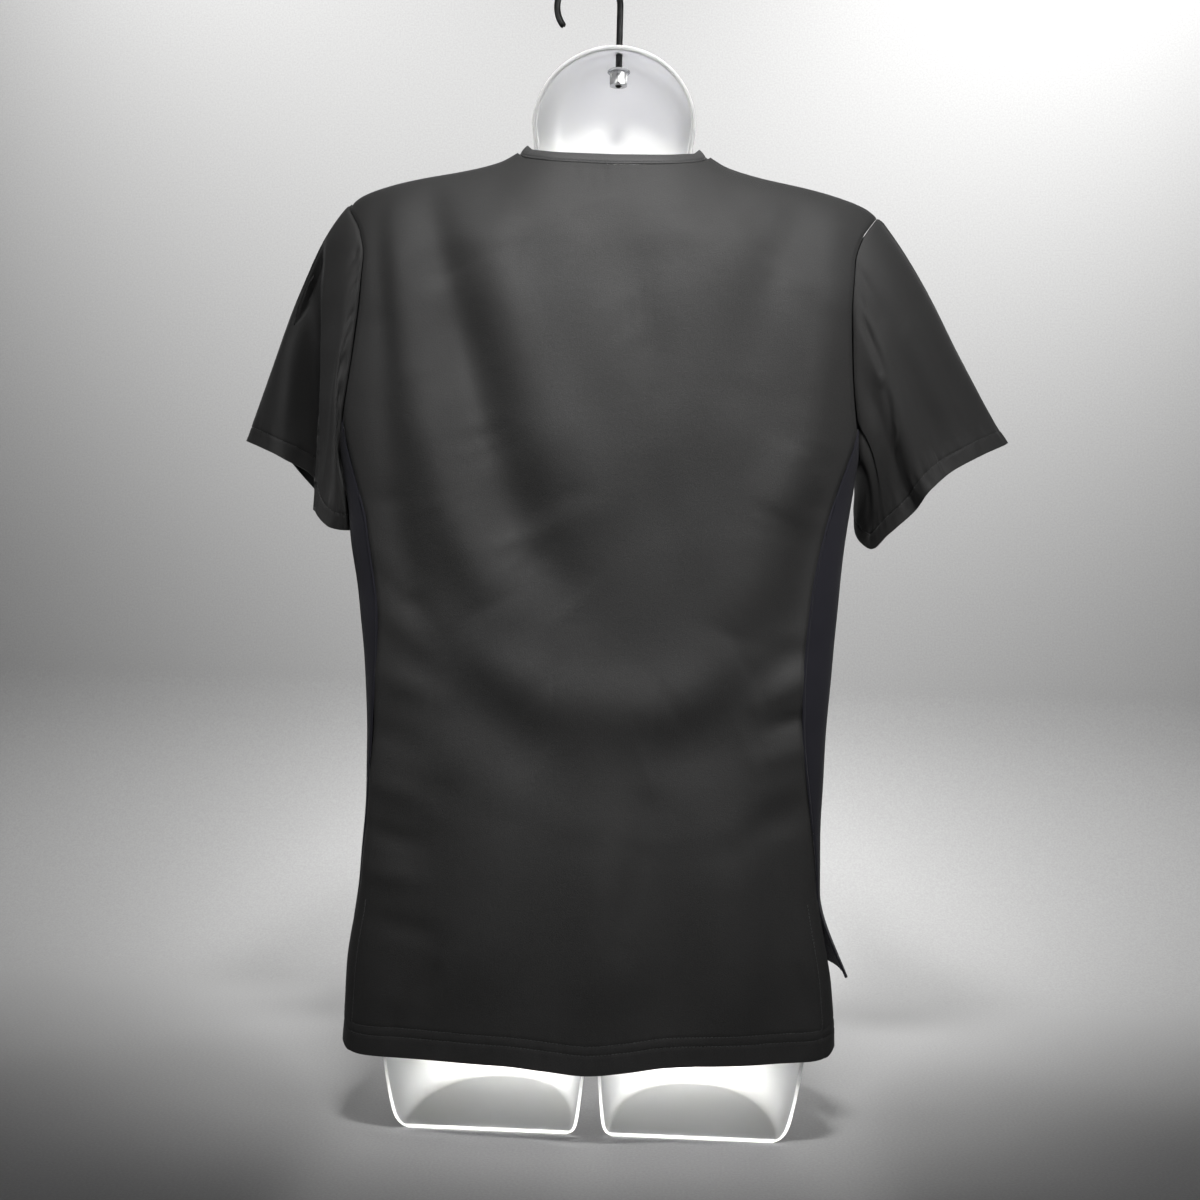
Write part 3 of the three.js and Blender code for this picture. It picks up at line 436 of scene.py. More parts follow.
def cloth_piece(name, points, normals, wall, material, is_tube=False):
    """A closed thin wall of cloth with a map in metres."""
    rows, columns = points.shape[:2]
    inner = points - normals * np.asarray(wall, float).reshape(-1, 1, 1)
    verts = to_row(np.concatenate([points.reshape(-1, 3), inner.reshape(-1, 3)]))
    count = rows * columns
    spans = columns if is_tube else columns - 1
    i, j = np.meshgrid(np.arange(rows - 1), np.arange(spans), indexing="ij")
    k = (j + 1) % columns
    a, b = i * columns + j, i * columns + k
    c, d = b + columns, a + columns
    face = np.cross(points[0, 1] - points[0, 0], points[1, 0] - points[0, 0])
    if (face * normals[0, 0]).sum() < 0:
        a, b, c, d = b, a, d, c
    quads = [np.stack([a, b, c, d], -1), np.stack([d, c, b, a], -1) + count]
    for at in (0, -1):
        rim = np.stack([a[at], b[at]] if at == 0 else [c[at], d[at]], -1)
        quads.append(np.stack([rim[:, 1], rim[:, 0], rim[:, 0] + count, rim[:, 1] + count], -1))
    if not is_tube:
        for at in (0, -1):
            starts, ends = (d[:, at], a[:, at]) if at == 0 else (b[:, at], c[:, at])
            if a[0, 0] > b[0, 0]:
                starts, ends = (b[:, at], c[:, at]) if at == 0 else (d[:, at], a[:, at])
            quads.append(np.stack([ends, starts, starts + count, ends + count], -1))
    faces = np.concatenate([q.reshape(-1, 4) for q in quads])
    mesh = bpy.data.meshes.new(name)
    mesh.from_pydata(verts.tolist(), [], faces.tolist())
    u = lengths_along(points, 1)
    u = (u - u[:, columns // 2:columns // 2 + 1]) / 1000
    v = lengths_along(points, 0) / 1000
    flat = np.tile(np.stack([u, v], -1).reshape(-1, 2), (2, 1))
    layer = mesh.uv_layers.new(name="UVMap")
    corners = np.empty(len(mesh.loops), np.int32)
    mesh.loops.foreach_get("vertex_index", corners)
    layer.data.foreach_set("uv", flat[corners].astype(np.float32).ravel())
    mesh.shade_smooth()
    mesh.set_sharp_from_angle(angle=math.radians(50))
    return new_object(name, mesh, material)


# %% [markdown]
# ## Materials
# Each finish is made of nodes. The main cloth is a fine charcoal twill: a diagonal weave too
# fine to see one thread at a time, a slightly uneven dye and a faint sheen. The side panels
# are a matt blue-black knit. Both patterns follow the cloth's own map.
# %% Make the node helpers and the cloth finishes
def add_node(tree, kind, inputs=None, **fields):
    """A new node with its fields set and each input linked or given its value."""
    node = tree.nodes.new(kind)
    for field, value in fields.items():
        setattr(node, field, value)
    for socket, value in (inputs or {}).items():
        if isinstance(value, bpy.types.NodeSocket):
            tree.links.new(value, node.inputs[socket])
        else:
            node.inputs[socket].default_value = value
    return node


class Finish:
    """A material and short ways to add its nodes."""

    def __init__(self, name, **settings):
        self.material = bpy.data.materials.new(name)
        self.material.use_nodes = True
        self.tree = self.material.node_tree
        self.shader = self.tree.nodes["Principled BSDF"]
        for socket, value in settings.items():
            self.shader.inputs[socket.replace("_", " ")].default_value = value
        self.material.diffuse_color = settings.get("Base_Color", (0.5, 0.5, 0.5, 1))

    def add(self, kind, inputs=None, **fields):
        return add_node(self.tree, kind, inputs, **fields)

    def place(self):
        return self.add("ShaderNodeTexCoord").outputs["Object"]

    def link(self, output, socket):
        self.tree.links.new(output, self.shader.inputs[socket])

    def noise(self, place, scale, detail=3.0, roughness=0.55):
        wanted = {"Vector": place, "Scale": scale, "Detail": detail, "Roughness": roughness}
        return self.add("ShaderNodeTexNoise", wanted).outputs["Fac"]

    def ramp(self, value, dark, light, low=0.3, high=0.7):
        """The value turned to a colour: dark up to the low place, light from the high one."""
        node = self.add("ShaderNodeValToRGB", {"Fac": value})
        first, last = node.color_ramp.elements
        first.position, first.color = low, dark
        last.position, last.color = high, light
        return node.outputs["Color"]

    def spread(self, value, low, high):
        """The value from 0 to 1 turned to the range from low to high."""
        wanted = {"Value": value, "To Min": low, "To Max": high}
        return self.add("ShaderNodeMapRange", wanted).outputs["Result"]

    def bump(self, height, strength, distance, under=None):
        wanted = {"Height": height, "Strength": strength, "Distance": distance}
        if under is not None:
            wanted["Normal"] = under
        return self.add("ShaderNodeBump", wanted).outputs["Normal"]


def grey(value, warm=0.0):
    """A linear colour: warm above nought leans to brown, and below it to blue."""
    return (value * (1 + warm), value, value * (1 - warm), 1)


def woven_finish(name, dark, light, warm, weave, sheen, roughness):
    """Twill: slanting ribs across the cloth's own map, on an uneven dye."""
    cloth = Finish(name, Specular_IOR_Level=0.3, Sheen_Weight=sheen, Sheen_Roughness=0.4)
    flat = cloth.add("ShaderNodeUVMap").outputs["UV"]
    place = cloth.place()
    slant = cloth.add("ShaderNodeMapping", {"Vector": flat, "Rotation": (0, 0, math.radians(63))})
    wanted = {"Vector": slant.outputs["Vector"], "Scale": weave, "Distortion": 0.6, "Detail": 1.0}
    ribs = cloth.add("ShaderNodeTexWave", wanted, wave_type="BANDS").outputs["Fac"]
    fibres = cloth.noise(flat, 900, 3, 0.8)
    dye = cloth.noise(place, 9, 4)
    warm_dye = cloth.ramp(dye, grey(dark, warm), grey(light, warm * 0.4), high=0.72)
    specks = cloth.ramp(fibres, grey(0.35), grey(1.0))
    wanted = {"Fac": 0.62, "Color1": warm_dye, "Color2": specks}
    speckled = cloth.add("ShaderNodeMixRGB", wanted, blend_type="MULTIPLY")
    cloth.link(speckled.outputs["Color"], "Base Color")
    worn = cloth.noise(place, 30, 3)
    cloth.link(cloth.spread(worn, roughness - 0.06, roughness + 0.06), "Roughness")
    soft = cloth.bump(cloth.noise(place, 55, 4), 0.25, 0.0012)
    woven = cloth.bump(ribs, 0.3, 0.00012, soft)
    cloth.link(cloth.bump(fibres, 0.6, 0.0003, woven), "Normal")
    return cloth.material


main_cloth = woven_finish("charcoal_twill", 0.022, 0.029, 0.03, 700, 0.05, 0.66)
band_cloth = woven_finish("neckband_twill", 0.036, 0.047, 0.01, 700, 0.1, 0.6)
print("finishes:", main_cloth.name, band_cloth.name)

# %% Make the knit and the thread finishes
knit = Finish("blue_black_knit", Specular_IOR_Level=0.2, Sheen_Weight=0.1, Roughness=0.9)
knit_map = knit.add("ShaderNodeUVMap").outputs["UV"]
knit_place = knit.place()
wales = knit.add("ShaderNodeTexWave", {"Vector": knit_map, "Scale": 420, "Distortion": 0.3},
                 wave_type="BANDS", bands_direction="X").outputs["Fac"]
loops = knit.add("ShaderNodeTexWave", {"Vector": knit_map, "Scale": 520, "Distortion": 0.8},
                 wave_type="BANDS", bands_direction="Y").outputs["Fac"]
knit_dye = knit.noise(knit_place, 14, 4)
knit_tone = knit.ramp(knit_dye, (0.008, 0.0077, 0.012, 1), (0.012, 0.0116, 0.017, 1))
knit.link(knit_tone, "Base Color")
knit_ribs = knit.bump(wales, 0.5, 0.0002, knit.bump(knit.noise(knit_place, 60, 3), 0.2, 0.001))
knit.link(knit.bump(loops, 0.3, 0.00015, knit_ribs), "Normal")


def thread_finish(name, dark, light):
    thread = Finish(name, Roughness=0.6, Specular_IOR_Level=0.4, Sheen_Weight=0.3)
    strands = thread.noise(thread.place(), 900, 3)
    thread.link(thread.ramp(strands, grey(dark), grey(light)), "Base Color")
    thread.link(thread.bump(strands, 0.4, 0.0001), "Normal")
    return thread.material


cloth_thread = thread_finish("charcoal_thread", 0.016, 0.03)
print("finishes:", knit.material.name, cloth_thread.name)

# %% [markdown]
# ## The back and front panels
# A panel is cut as one piece of twill. Its columns crowd towards the side seams, and its rows
# towards the hem, so that the seam rolls in neatly and the hem's stitching can sink into the
# cloth. The hem is turned up, so the wall is thicker there.
# %% Lay out the columns and rows of a panel
edge_steps = np.array([0, 0.6, 1.3, 2.2, 3.5, 5.2, 7, 8.2, 9, 9.8, 11, 13, 16])
hem_steps = np.array([0, 0.5, 1.2, 2.4, 4.2, 6.6, 9.2, 11.6, 13.2, 14, 14.5, 15, 15.8, 17.6,
                      19.6, 20.5, 21, 21.5, 22.4, 24.4, 27.6, 32])
hem_stitches = (14.5, 21)
vent_stitch = 9
hem_pucker_depth = 0.17
hem_pucker_middle, hem_pucker_spread = 16, 9
edge_span = 186
run_rows = 104
yoke_rows = 16
round_rows = 34


def column_shares():
    """Shares of the half width, from the right edge to the left one."""
    near = 1 - edge_steps[::-1] / edge_span
    neck_share = neck_half / shoulder_crest[-1][0]
    one = np.concatenate([
        np.linspace(0, neck_share, 26),
        np.linspace(neck_share, near[0], 34)[1:-1],
        near,
    ])
    return np.concatenate([-one[:0:-1], one])


def panel_columns(is_back):
    """Bearings, heights, and distances to the hem and to the side edge, as grids."""
    bearings, heights, from_hem, from_edge = [], [], [], []
    for share in column_shares():
        side, reach = (-1 if share < 0 else 1), abs(share)
        top = column_top(reach, side, is_back) - seam_gap / 2
        crest = float(crest_at(side * reach * panel_edge(top, side, is_back)))
        start = min(max((crest - top) / shoulder_round, 0), 1)
        round_base = min(crest - shoulder_round, top - 20)
        hem_x = reach * float(panel_edge(back_hem[1][1], side, True))
        hem = float(back_hem_at(hem_x)) - hem_tilt * side * hem_x if is_back else side_panel_hem
        run = np.linspace(hem + hem_steps[-1], armhole_notch, run_rows + 1)[1:]
        yoke = np.linspace(armhole_notch, round_base, yoke_rows + 1)[1:]
        left = 1 - np.arange(1, round_rows + 1) / round_rows
        over = start + (1 - start) * (1 - np.cos(left * math.pi / 2))
        rounded = crest - shoulder_round * over
        if start >= 1:
            rounded = round_base + (top - round_base) * (1 - left)
        z = np.concatenate([hem + hem_steps, run, yoke, rounded])
        edge = panel_edge(z, side, is_back) - seam_gap / 2
        angle = np.degrees(np.arcsin(np.clip(side * reach * edge / half_at(z), -1, 1)))
        bearings.append(angle if is_back else 180 - angle)
        heights.append(z)
        from_hem.append(z - hem)
        from_edge.append((1 - reach) * edge)
    return [np.stack(grid, axis=1) for grid in (bearings, heights, from_hem, from_edge)]


def seam_roll(distance, depth=0.9, spread=1.8):
    """How far the cloth turns in along a seam."""
    return depth * np.exp(-((distance / spread) ** 2))


def stitch_sink(distance, line, depth=0.35, spread=0.7):
    """The narrow groove that a row of stitches pulls into the cloth."""
    return depth * np.exp(-(((distance - line) / spread) ** 2))


def hem_pucker(along, distance, seed):
    """Short uneven puckers between the twin rows of stitches and the hem's edge."""
    chance = np.random.RandomState(seed)
    total = np.zeros_like(along)
    for wave in (9.5, 13.7, 21, 33):
        phase = chance.uniform(0, 2 * math.pi)
        slanted = along + distance * chance.uniform(-0.5, 0.5)
        total = total + np.sin(slanted * 2 * math.pi / wave + phase)
    middle_of_hem = np.exp(-(((distance - hem_pucker_middle) / hem_pucker_spread) ** 2))
    return total * hem_pucker_depth * middle_of_hem


def make_panel(is_back):
    """The grid of one panel with its creases, seams and hem worked in."""
    bearing, z, from_hem, from_edge = panel_columns(is_back)
    base = torso_point(bearing, z, not is_back)
    way = np.array([0, 1.0 if is_back else -1.0, 0.35])
    normals = grid_normals(base, way)
    x = base[..., 0]
    creases = back_creases if is_back else front_creases
    depth = crease_depth(creases, x, z) + ripple(x, z, 0.22, 70, 5 if is_back else 6)
    if is_back:
        for place, length, spread, much in neck_puckers:
            from_top = panel_top(x, True) - z
            down = np.clip(from_top / length, 0, 1)
            fade = (1 - down) ** 1.5 * np.clip(from_top / pucker_start, 0.1, 1)
            across = (x - place) / (spread * (1 + down))
            depth = depth + pucker_strength * much * fade * np.exp(-(across ** 2))
    depth = depth + hem_pucker(x, from_hem, 11 if is_back else 12)
    for line in hem_stitches:
        depth = depth + stitch_sink(from_hem, line)
    is_vent = np.clip((vent_top - z) / 6, 0, 1) if is_back else 0
    depth = depth + stitch_sink(from_edge, vent_stitch) * is_vent
    near_crest = np.clip((crest_at(x) - z) / 30, 0, 1)
    depth = depth * np.clip(near_crest + 0.25, 0, 1)
    depth = depth + seam_roll(from_edge) * (1 - is_vent)
    return base - normals * depth[..., None], way, from_hem


back_points, back_way, back_from_hem = make_panel(True)
front_points, front_way, front_from_hem = make_panel(False)
print("back grid", back_points.shape[:2], "front grid", front_points.shape[:2])

# %% Make the two panels of twill
def hem_walls(from_hem, turned_up=22.5):
    """Wall thickness by row: doubled cloth up to the upper row of stitches."""
    low = from_hem[:, from_hem.shape[1] // 2] <= turned_up
    return np.where(low, hem_wall, cloth_wall)


back_normals = grid_normals(back_points, back_way)
front_normals = grid_normals(front_points, front_way)
back_cloth = cloth_piece(
    "back_cloth", back_points, back_normals, hem_walls(back_from_hem), main_cloth)
front_cloth = cloth_piece(
    "front_cloth", front_points, front_normals, hem_walls(front_from_hem), main_cloth)
print("back area", round(cloth_area(back_points), 3), "front area", round(cloth_area(front_points), 3))

# %% [markdown]
# ## The knit side panels
# Two stretch panels run from the underarm to the hem. Each is sewn to the back down to the
# vent and hangs free of it below. They are narrow, so a plain grid between the two seams
# does, with the same rolled seams and a few soft ripples.
# %% Make the side panels
side_columns = 30
side_rows = 150


def side_points(side):
    """The grid of a side panel, from the back seam round to the front seam."""
    seam = seam_left_at if side > 0 else seam_right_at
    across = np.concatenate([[0, 0.015, 0.035, 0.06], np.linspace(0.09, 0.91, side_columns),
                             [0.94, 0.965, 0.985, 1]])
    top = armhole_notch - np.sin(np.pi * across) * (armhole_notch - underarm)
    steps = np.concatenate([hem_steps, np.zeros(side_rows)])
    z = np.empty((len(steps), len(across)))
    for j, height in enumerate(top):
        run = np.linspace(side_panel_hem + hem_steps[-1], height, side_rows + 1)[1:]
        z[:, j] = np.concatenate([side_panel_hem + hem_steps, run])
    at_back, at_front = seam(z) + side_margin, seam_front_at(z) - side_margin
    bearing = at_back * (1 - across) + at_front * across
    base = torso_point(side * bearing, z, True)
    way = np.array([float(side), 0, 0])
    normals = grid_normals(base, way)
    width = np.radians(at_front - at_back) * half_at(z)
    from_seam = np.minimum(across, 1 - across) * width
    is_vent = np.clip((vent_top - z) / 6, 0, 1) * (across < 0.5)
    depth = seam_roll(from_seam) * (1 - is_vent)
    depth = depth + ripple(base[..., 1], z, 0.3, 46, 21 + side)
    depth = depth + stitch_sink(z - side_panel_hem, hem_stitches[0])
    return base - normals * depth[..., None], way, z - side_panel_hem


side_cloths, side_grids = {}, {}
for edge, side in (("left", 1), ("right", -1)):
    points, way, from_hem = side_points(side)
    side_grids[edge] = points
    side_cloths[edge] = cloth_piece(
        f"side_knit_{edge}", points, grid_normals(points, way), hem_walls(from_hem), knit.material)
    print("side panel", edge, round(cloth_area(points), 3), "square metres")

# %% [markdown]
# ## The sleeves
# A set-in sleeve is a tube sewn into the armhole. Its threads leave the seam outwards, turn
# over the shoulder and fall to the hem, which stands well away from the arm. The armhole's
# loop is taken from the panels' own edges, so that the seam closes all the way round.
# %% Give the sleeves' sizes
# Clock 0 is the outer crest of a sleeve, 90 its back, 180 the underarm and 270 the front.
# The hem's loop: clock, x, y, z
sleeve_hems = {
    "left": (
        (0, 286.6, -44, 520),
        (25, 267.5, -22, 512.5),
        (45, 246, -11, 503),
        (60, 233, -3, 494),
        (75, 221, 7, 475),
        (88, 215.5, 14, 461.5),
        (110, 206.5, 16, 452),
        (135, 200, 6, 449.5),
        (160, 195, -12, 450),
        (180, 195.5, -35, 452),
        (205, 204.5, -65, 460.5),
        (235, 230, -90, 475),
        (270, 251, -98, 494),
        (300, 268, -92, 511.5),
        (330, 281.5, -72, 518),
    ),
    "right": (
        (0, -305.5, -38, 529),
        (30, -284, -15, 518),
        (60, -259, 3, 504),
        (90, -240.5, 10, 488),
        (120, -225, 4, 468.5),
        (150, -211.5, -12, 454.5),
        (172, -202, -25, 445),
        (195, -192, -45, 457),
        (215, -197, -62, 470.5),
        (240, -218.5, -80, 488),
        (270, -248.5, -88, 507),
        (300, -275.5, -82, 521),
        (330, -296.5, -62, 529),
    ),
}
# out and drop: the way a thread leaves the shoulder; lean: how far the arm's line leans out
sleeves = {
    "left": {
        "side": 1,
        "cap": {"out": 0.72, "drop": 0.69, "reach": 0.62, "lean": 20},
        "folds": ((300, 18, 9, 0.2),),
    },
    "right": {
        "side": -1,
        "cap": {"out": 0.62, "drop": 0.78, "reach": 1, "lean": 35},
        "folds": ((118, 16, 9, 0.15), (62, 16, 6, 0.5), (300, 18, 9, 0.2)),
    },
}
# The upright pleat at the back of the left sleeve: its edge hangs at one x all the way down
pleat_edge = 216
pleat_turn = 9
pleat_floor = 12
pleat_run_out = 15
# z, depth
pleat_depths = ((455, 48), (500, 46), (560, 38), (615, 26), (660, 15), (690, 6), (715, 0))
sleeve_run = {"side": (0.72, 0.69), "under": (0.62, 0.78), "cap_spread": 42, "under_spread": 55,
              "seam_lift": 0.25, "under_fall": 0.6, "hem_pull": 0.9, "axis_reach": 0.8,
              "folds_from": 0.2}
# Small creases of a sleeve: clock and share of its length at each end, spread, depth
sleeve_creases = {
    "left": (
        (42, 0.0, 46, 0.1, 3.0, 2.0),
        (56, 0.0, 58, 0.08, 2.4, 1.6),
        (63, 0.0, 66, 0.12, 2.8, 1.8),
        (84, 0.0, 82, 0.1, 3.0, 1.8),
        (92, 0.0, 96, 0.16, 3.4, 1.0),
        (112, 0.04, 100, 0.3, 6, 1.8),
        (134, 0.02, 118, 0.34, 6, 1.8),
        (20, 0.35, 14, 0.9, 9, -1.2),
        (300, 0.1, 292, 0.7, 8, 1.5),
        (330, 0.0, 322, 0.4, 6, 1.3),
    ),
    "right": (
        (50, 0.0, 54, 0.1, 3.0, 1.0),
        (66, 0.0, 70, 0.12, 3.0, 0.9),
        (78, 0.06, 84, 0.2, 6, 2.6),
        (84, 0.2, 112, 0.62, 9, 1.8),
        (96, 0.26, 92, 0.34, 5, -1.8),
        (100, 0.56, 112, 0.62, 3.4, -1.4),
        (134, 0.4, 140, 0.9, 10, 1.3),
        (42, 0.4, 36, 0.95, 12, -1.8),
        (66, 0.86, 68, 1.0, 3, 2.0),
        (76, 0.84, 78, 1.0, 2.6, 2.2),
        (86, 0.86, 87, 1.0, 3, 2.2),
        (300, 0.1, 292, 0.7, 8, 1.5),
        (330, 0.0, 322, 0.4, 6, 1.3),
    ),
}
sleeve_stitch = 12.5
print("sleeve hems:", {edge: len(rows) for edge, rows in sleeve_hems.items()}, "points")


# %% Follow the armhole's loop
arm_points = 84
under_points = 33


def armhole_loop(edge):
    """Points and outward directions from the shoulder tip down the back and up the front."""
    side = sleeves[edge]["side"]
    share = 1 - np.linspace(0, 1, arm_points)[1:-1]
    arcs = []
    for is_back in (True, False):
        top = column_top(1, side, is_back) - seam_gap / 2
        z = armhole_notch + (top - armhole_notch) * np.sin(share * math.pi / 2)
        angle = np.degrees(np.arcsin(np.clip(panel_edge(z, side, is_back) / half_at(z), -1, 1)))
        arcs.append((side * (angle if is_back else 180 - angle), z))
    across = np.linspace(0, 1, under_points)
    z = armhole_notch - np.sin(np.pi * across) * (armhole_notch - underarm)
    seam = seam_left_at if side > 0 else seam_right_at
    under = (side * (seam(z) * (1 - across) + seam_front_at(z) * across), z)
    tip = (np.array([side * 90.0]), np.array([column_top(1, side, True)]))
    bearing = np.concatenate([tip[0], arcs[0][0], under[0], arcs[1][0][::-1]])
    z = np.concatenate([tip[1], arcs[0][1], under[1], arcs[1][1][::-1]])
    points = torso_point(bearing, z)
    step = 0.4
    round_way = torso_point(bearing + step, z) - torso_point(bearing - step, z)
    up_way = torso_point(bearing, z + step) - torso_point(bearing, z - step)
    normals = -unit(np.cross(round_way, up_way))
    return points, normals


def ring_through(rows, clocks):
    """A smooth closed curve through the rows of (clock, x, y, z)."""
    keys = np.array([row[0] for row in rows], float)
    places = np.array([row[1:] for row in rows], float)
    keys = np.concatenate([keys[-2:] - 360, keys, keys[:2] + 360])
    places = np.concatenate([places[-2:], places, places[:2]])
    slopes = (places[2:] - places[:-2]) / (keys[2:] - keys[:-2])[:, None]
    keys, places = keys[1:-1], places[1:-1]
    i = np.clip(np.searchsorted(keys, clocks, side="right") - 1, 0, len(keys) - 2)
    run = (keys[i + 1] - keys[i])[:, None]
    t = (clocks - keys[i])[:, None] / run
    rise = t * t * (3 - 2 * t)
    leaving, arriving = t * (1 - t) ** 2 * slopes[i], t * t * (t - 1) * slopes[i + 1]
    return places[i] * (1 - rise) + places[i + 1] * rise + run * (leaving + arriving)


pleat_depth_at = curve(pleat_depths, 1)


def pleat(points, clocks):
    """How far the left sleeve's back is folded away to the front, outwards of its edge."""
    past = points[..., 0] - pleat_edge
    turned = np.clip(past / pleat_turn, 0, 1)
    turned = turned * turned * (3 - 2 * turned)
    beyond = np.clip(past - pleat_floor, 0, None) / pleat_run_out
    on_back = np.clip(clocks / 14, 0, 1) * np.clip((190 - clocks) / 20, 0, 1)
    return pleat_depth_at(points[..., 2]) * turned * np.exp(-(beyond ** 2)) * on_back


def sleeve_grid(edge):
    """Threads from the armhole to the hem, with the folds and small creases worked in."""
    size = sleeves[edge]
    side, cap = size["side"], size["cap"]
    loop, normals = armhole_loop(edge)
    around = len(loop)
    gaps = np.linalg.norm(np.roll(loop, -1, axis=0) - loop, axis=1)
    reached = np.concatenate([[0], np.cumsum(gaps)[:-1]])
    under = int(np.argmin(loop[:, 2]))
    total = gaps.sum()
    first = 180 * reached / reached[under]
    second = 180 + 180 * (reached - reached[under]) / (total - reached[under])
    clocks = np.where(np.arange(around) <= under, first, second)

    def near(clock, spread):
        away = np.abs((clocks - clock + 540) % 360 - 180)
        return np.exp(-((away / spread) ** 2))[:, None]

    lean_angle = math.radians(cap["lean"])
    axis = np.array([side * math.sin(lean_angle), 0, -math.cos(lean_angle)])
    end = ring_through(sleeve_hems[edge], clocks)
    centre = end.mean(axis=0)
    across = np.roll(loop, -1, axis=0) - np.roll(loop, 1, axis=0)
    away = unit(np.cross(normals, across))
    inward = (away * (loop.mean(axis=0) - loop)).sum(-1, keepdims=True) < 0
    inward[0] = away[0, 0] * side < 0
    begin = loop + np.where(inward, -away, away) * armhole_gap
    threads = np.linalg.norm(end - begin, axis=1, keepdims=True)
    cap_share, under_share = near(0, sleeve_run["cap_spread"]), near(180, sleeve_run["under_spread"])
    ways = [np.array([side * out, 0, -drop])
            for out, drop in (sleeve_run["side"], (cap["out"], cap["drop"]), sleeve_run["under"])]
    leave = ways[0] + (ways[1] - ways[0]) * cap_share
    leave = leave + (ways[2] - leave) * under_share
    leave[:, 1] += normals[:, 1] * sleeve_run["seam_lift"] * (1 - under_share[:, 0])
    leave = unit(leave) * threads * cap["reach"]
    fall = under_share * sleeve_run["under_fall"]
    arrive = unit(axis + (np.array([0, 0, -1.0]) - axis) * fall) * threads * sleeve_run["hem_pull"]

    seam_steps = np.array([0, 0.7, 1.5, 2.6, 4.2, 6.4])
    cuff_steps = np.array([0, 0.5, 1.2, 2.4, 4.4, 7, 9.6, 11.4, 12, 12.5, 13, 13.6, 15.4, 18.4, 22.5])
    first_part = seam_steps[None, :] / threads
    last_part = 1 - cuff_steps[None, ::-1] / threads
    inner = np.linspace(0, 1, 64)[1:-1][None, :]
    between = first_part[:, -1:] + (last_part[:, :1] - first_part[:, -1:]) * inner
    rows = np.concatenate([first_part, between, last_part], axis=1).T
    t = rows[..., None]
    h = t * t * (3 - 2 * t)
    p = begin * (1 - h) + end * h + leave * t * (1 - t) ** 2 + arrive * t * t * (t - 1)
    back_along = (1 - t) * threads * sleeve_run["axis_reach"]
    to_axis = centre - axis * back_along - p
    to_axis = unit(to_axis - axis * (to_axis * axis).sum(-1, keepdims=True))
    started = np.minimum(1, t / sleeve_run["folds_from"])
    for clock, spread, depth, at_cap in size["folds"]:
        grown = (at_cap + (1 - at_cap) * t) * started
        p = p + to_axis * depth * near(clock, spread) * grown
    if edge == "left":
        p[..., 1] -= pleat(p, clocks[None, :])
    outward = grid_normals(p, -to_axis, True)
    depth = np.zeros(p.shape[:2])
    for clock0, t0, clock1, t1, spread, much in sleeve_creases[edge]:
        for_t = np.clip((rows - t0) / (t1 - t0), 0, 1)
        clock = clock0 + (clock1 - clock0) * for_t
        off = np.abs((clocks[None, :] - clock + 540) % 360 - 180)
        past = np.abs(rows - np.clip(rows, t0, t1)) * threads[:, 0][None, :]
        fade = np.sin(np.pi * np.clip(for_t, fold_fade, 1 - fold_fade)) ** 0.5
        depth += much * fade * np.exp(-((off / spread) ** 2) - (past / 8) ** 2)
    from_seam = rows * threads[:, 0][None, :]
    from_hem = (1 - rows) * threads[:, 0][None, :]
    depth += ripple(p[..., 1] + p[..., 0] * 0.5, p[..., 2], 0.22, 48, 31 + side)
    depth *= np.clip(from_seam / 12, 0, 1)
    along = clocks[None, :] / 360 * 400 + 0 * rows
    depth += hem_pucker(along, from_hem + 3, 33 + side) * 1.3
    depth += stitch_sink(from_hem, sleeve_stitch)
    depth += seam_roll(from_seam, 1.0, 2.2)
    p = p - outward * depth[..., None]
    return p, grid_normals(p, outward, True), from_hem


sleeve_cloths, sleeve_grids = {}, {}
for edge in ("left", "right"):
    points, normals, from_hem = sleeve_grid(edge)
    sleeve_grids[edge] = (points, normals, from_hem)
    walls = np.where(from_hem[:, 0] <= 13.5, hem_wall, cloth_wall)
    sleeve_cloths[edge] = cloth_piece(
        f"sleeve_cloth_{edge}", points, normals, walls, main_cloth, is_tube=True)
    print("sleeve", edge, points.shape[:2], round(cloth_area(points, True), 3), "square metres")

# %% [markdown]
# ## The neckband
# The neck is finished with a narrow folded strip that stands on from the neckline and meets
# itself in a mitre at the bottom of the V. It is a little rounded across, and one row of
# stitches sinks into it just above its lower edge.
# %% Make the neckband
band_steps = np.array([0, 0.3, 0.8, 1.2, 1.5, 1.8, 2.4, 3.6, 5.2, 6.8, 8, 8.6, 9])
band_stitch = 1.5
band_crown = 0.9


def neckline_loop():
    """Points and outward directions along the neck edge of the back, then of the front."""
    share = neck_half / shoulder_crest[-1][0]
    shares = column_shares()
    inside = np.where(np.abs(shares) <= share + 1e-6)[0]
    back, front = back_rim[inside[::-1]], front_rim[inside]
    back_way, front_way = back_rim_way[inside[::-1]], front_rim_way[inside]
    loop = np.concatenate([(back[:1] + front[-1:]) / 2, back[1:-1],
                           (back[-1:] + front[:1]) / 2, front[1:-1]])
    ways = np.concatenate([back_way[:1] + front_way[-1:], back_way[1:-1],
                           back_way[-1:] + front_way[:1], front_way[1:-1]])
    return loop, unit(ways)


def smooth_rim(is_back):
    """The top edge of a panel before its creases, with outward directions."""
    bearing, z, _, _ = panel_columns(is_back)
    base = torso_point(bearing[-4:], z[-4:], not is_back)
    way = back_way if is_back else front_way
    return base[-1], grid_normals(base, way)[-1]


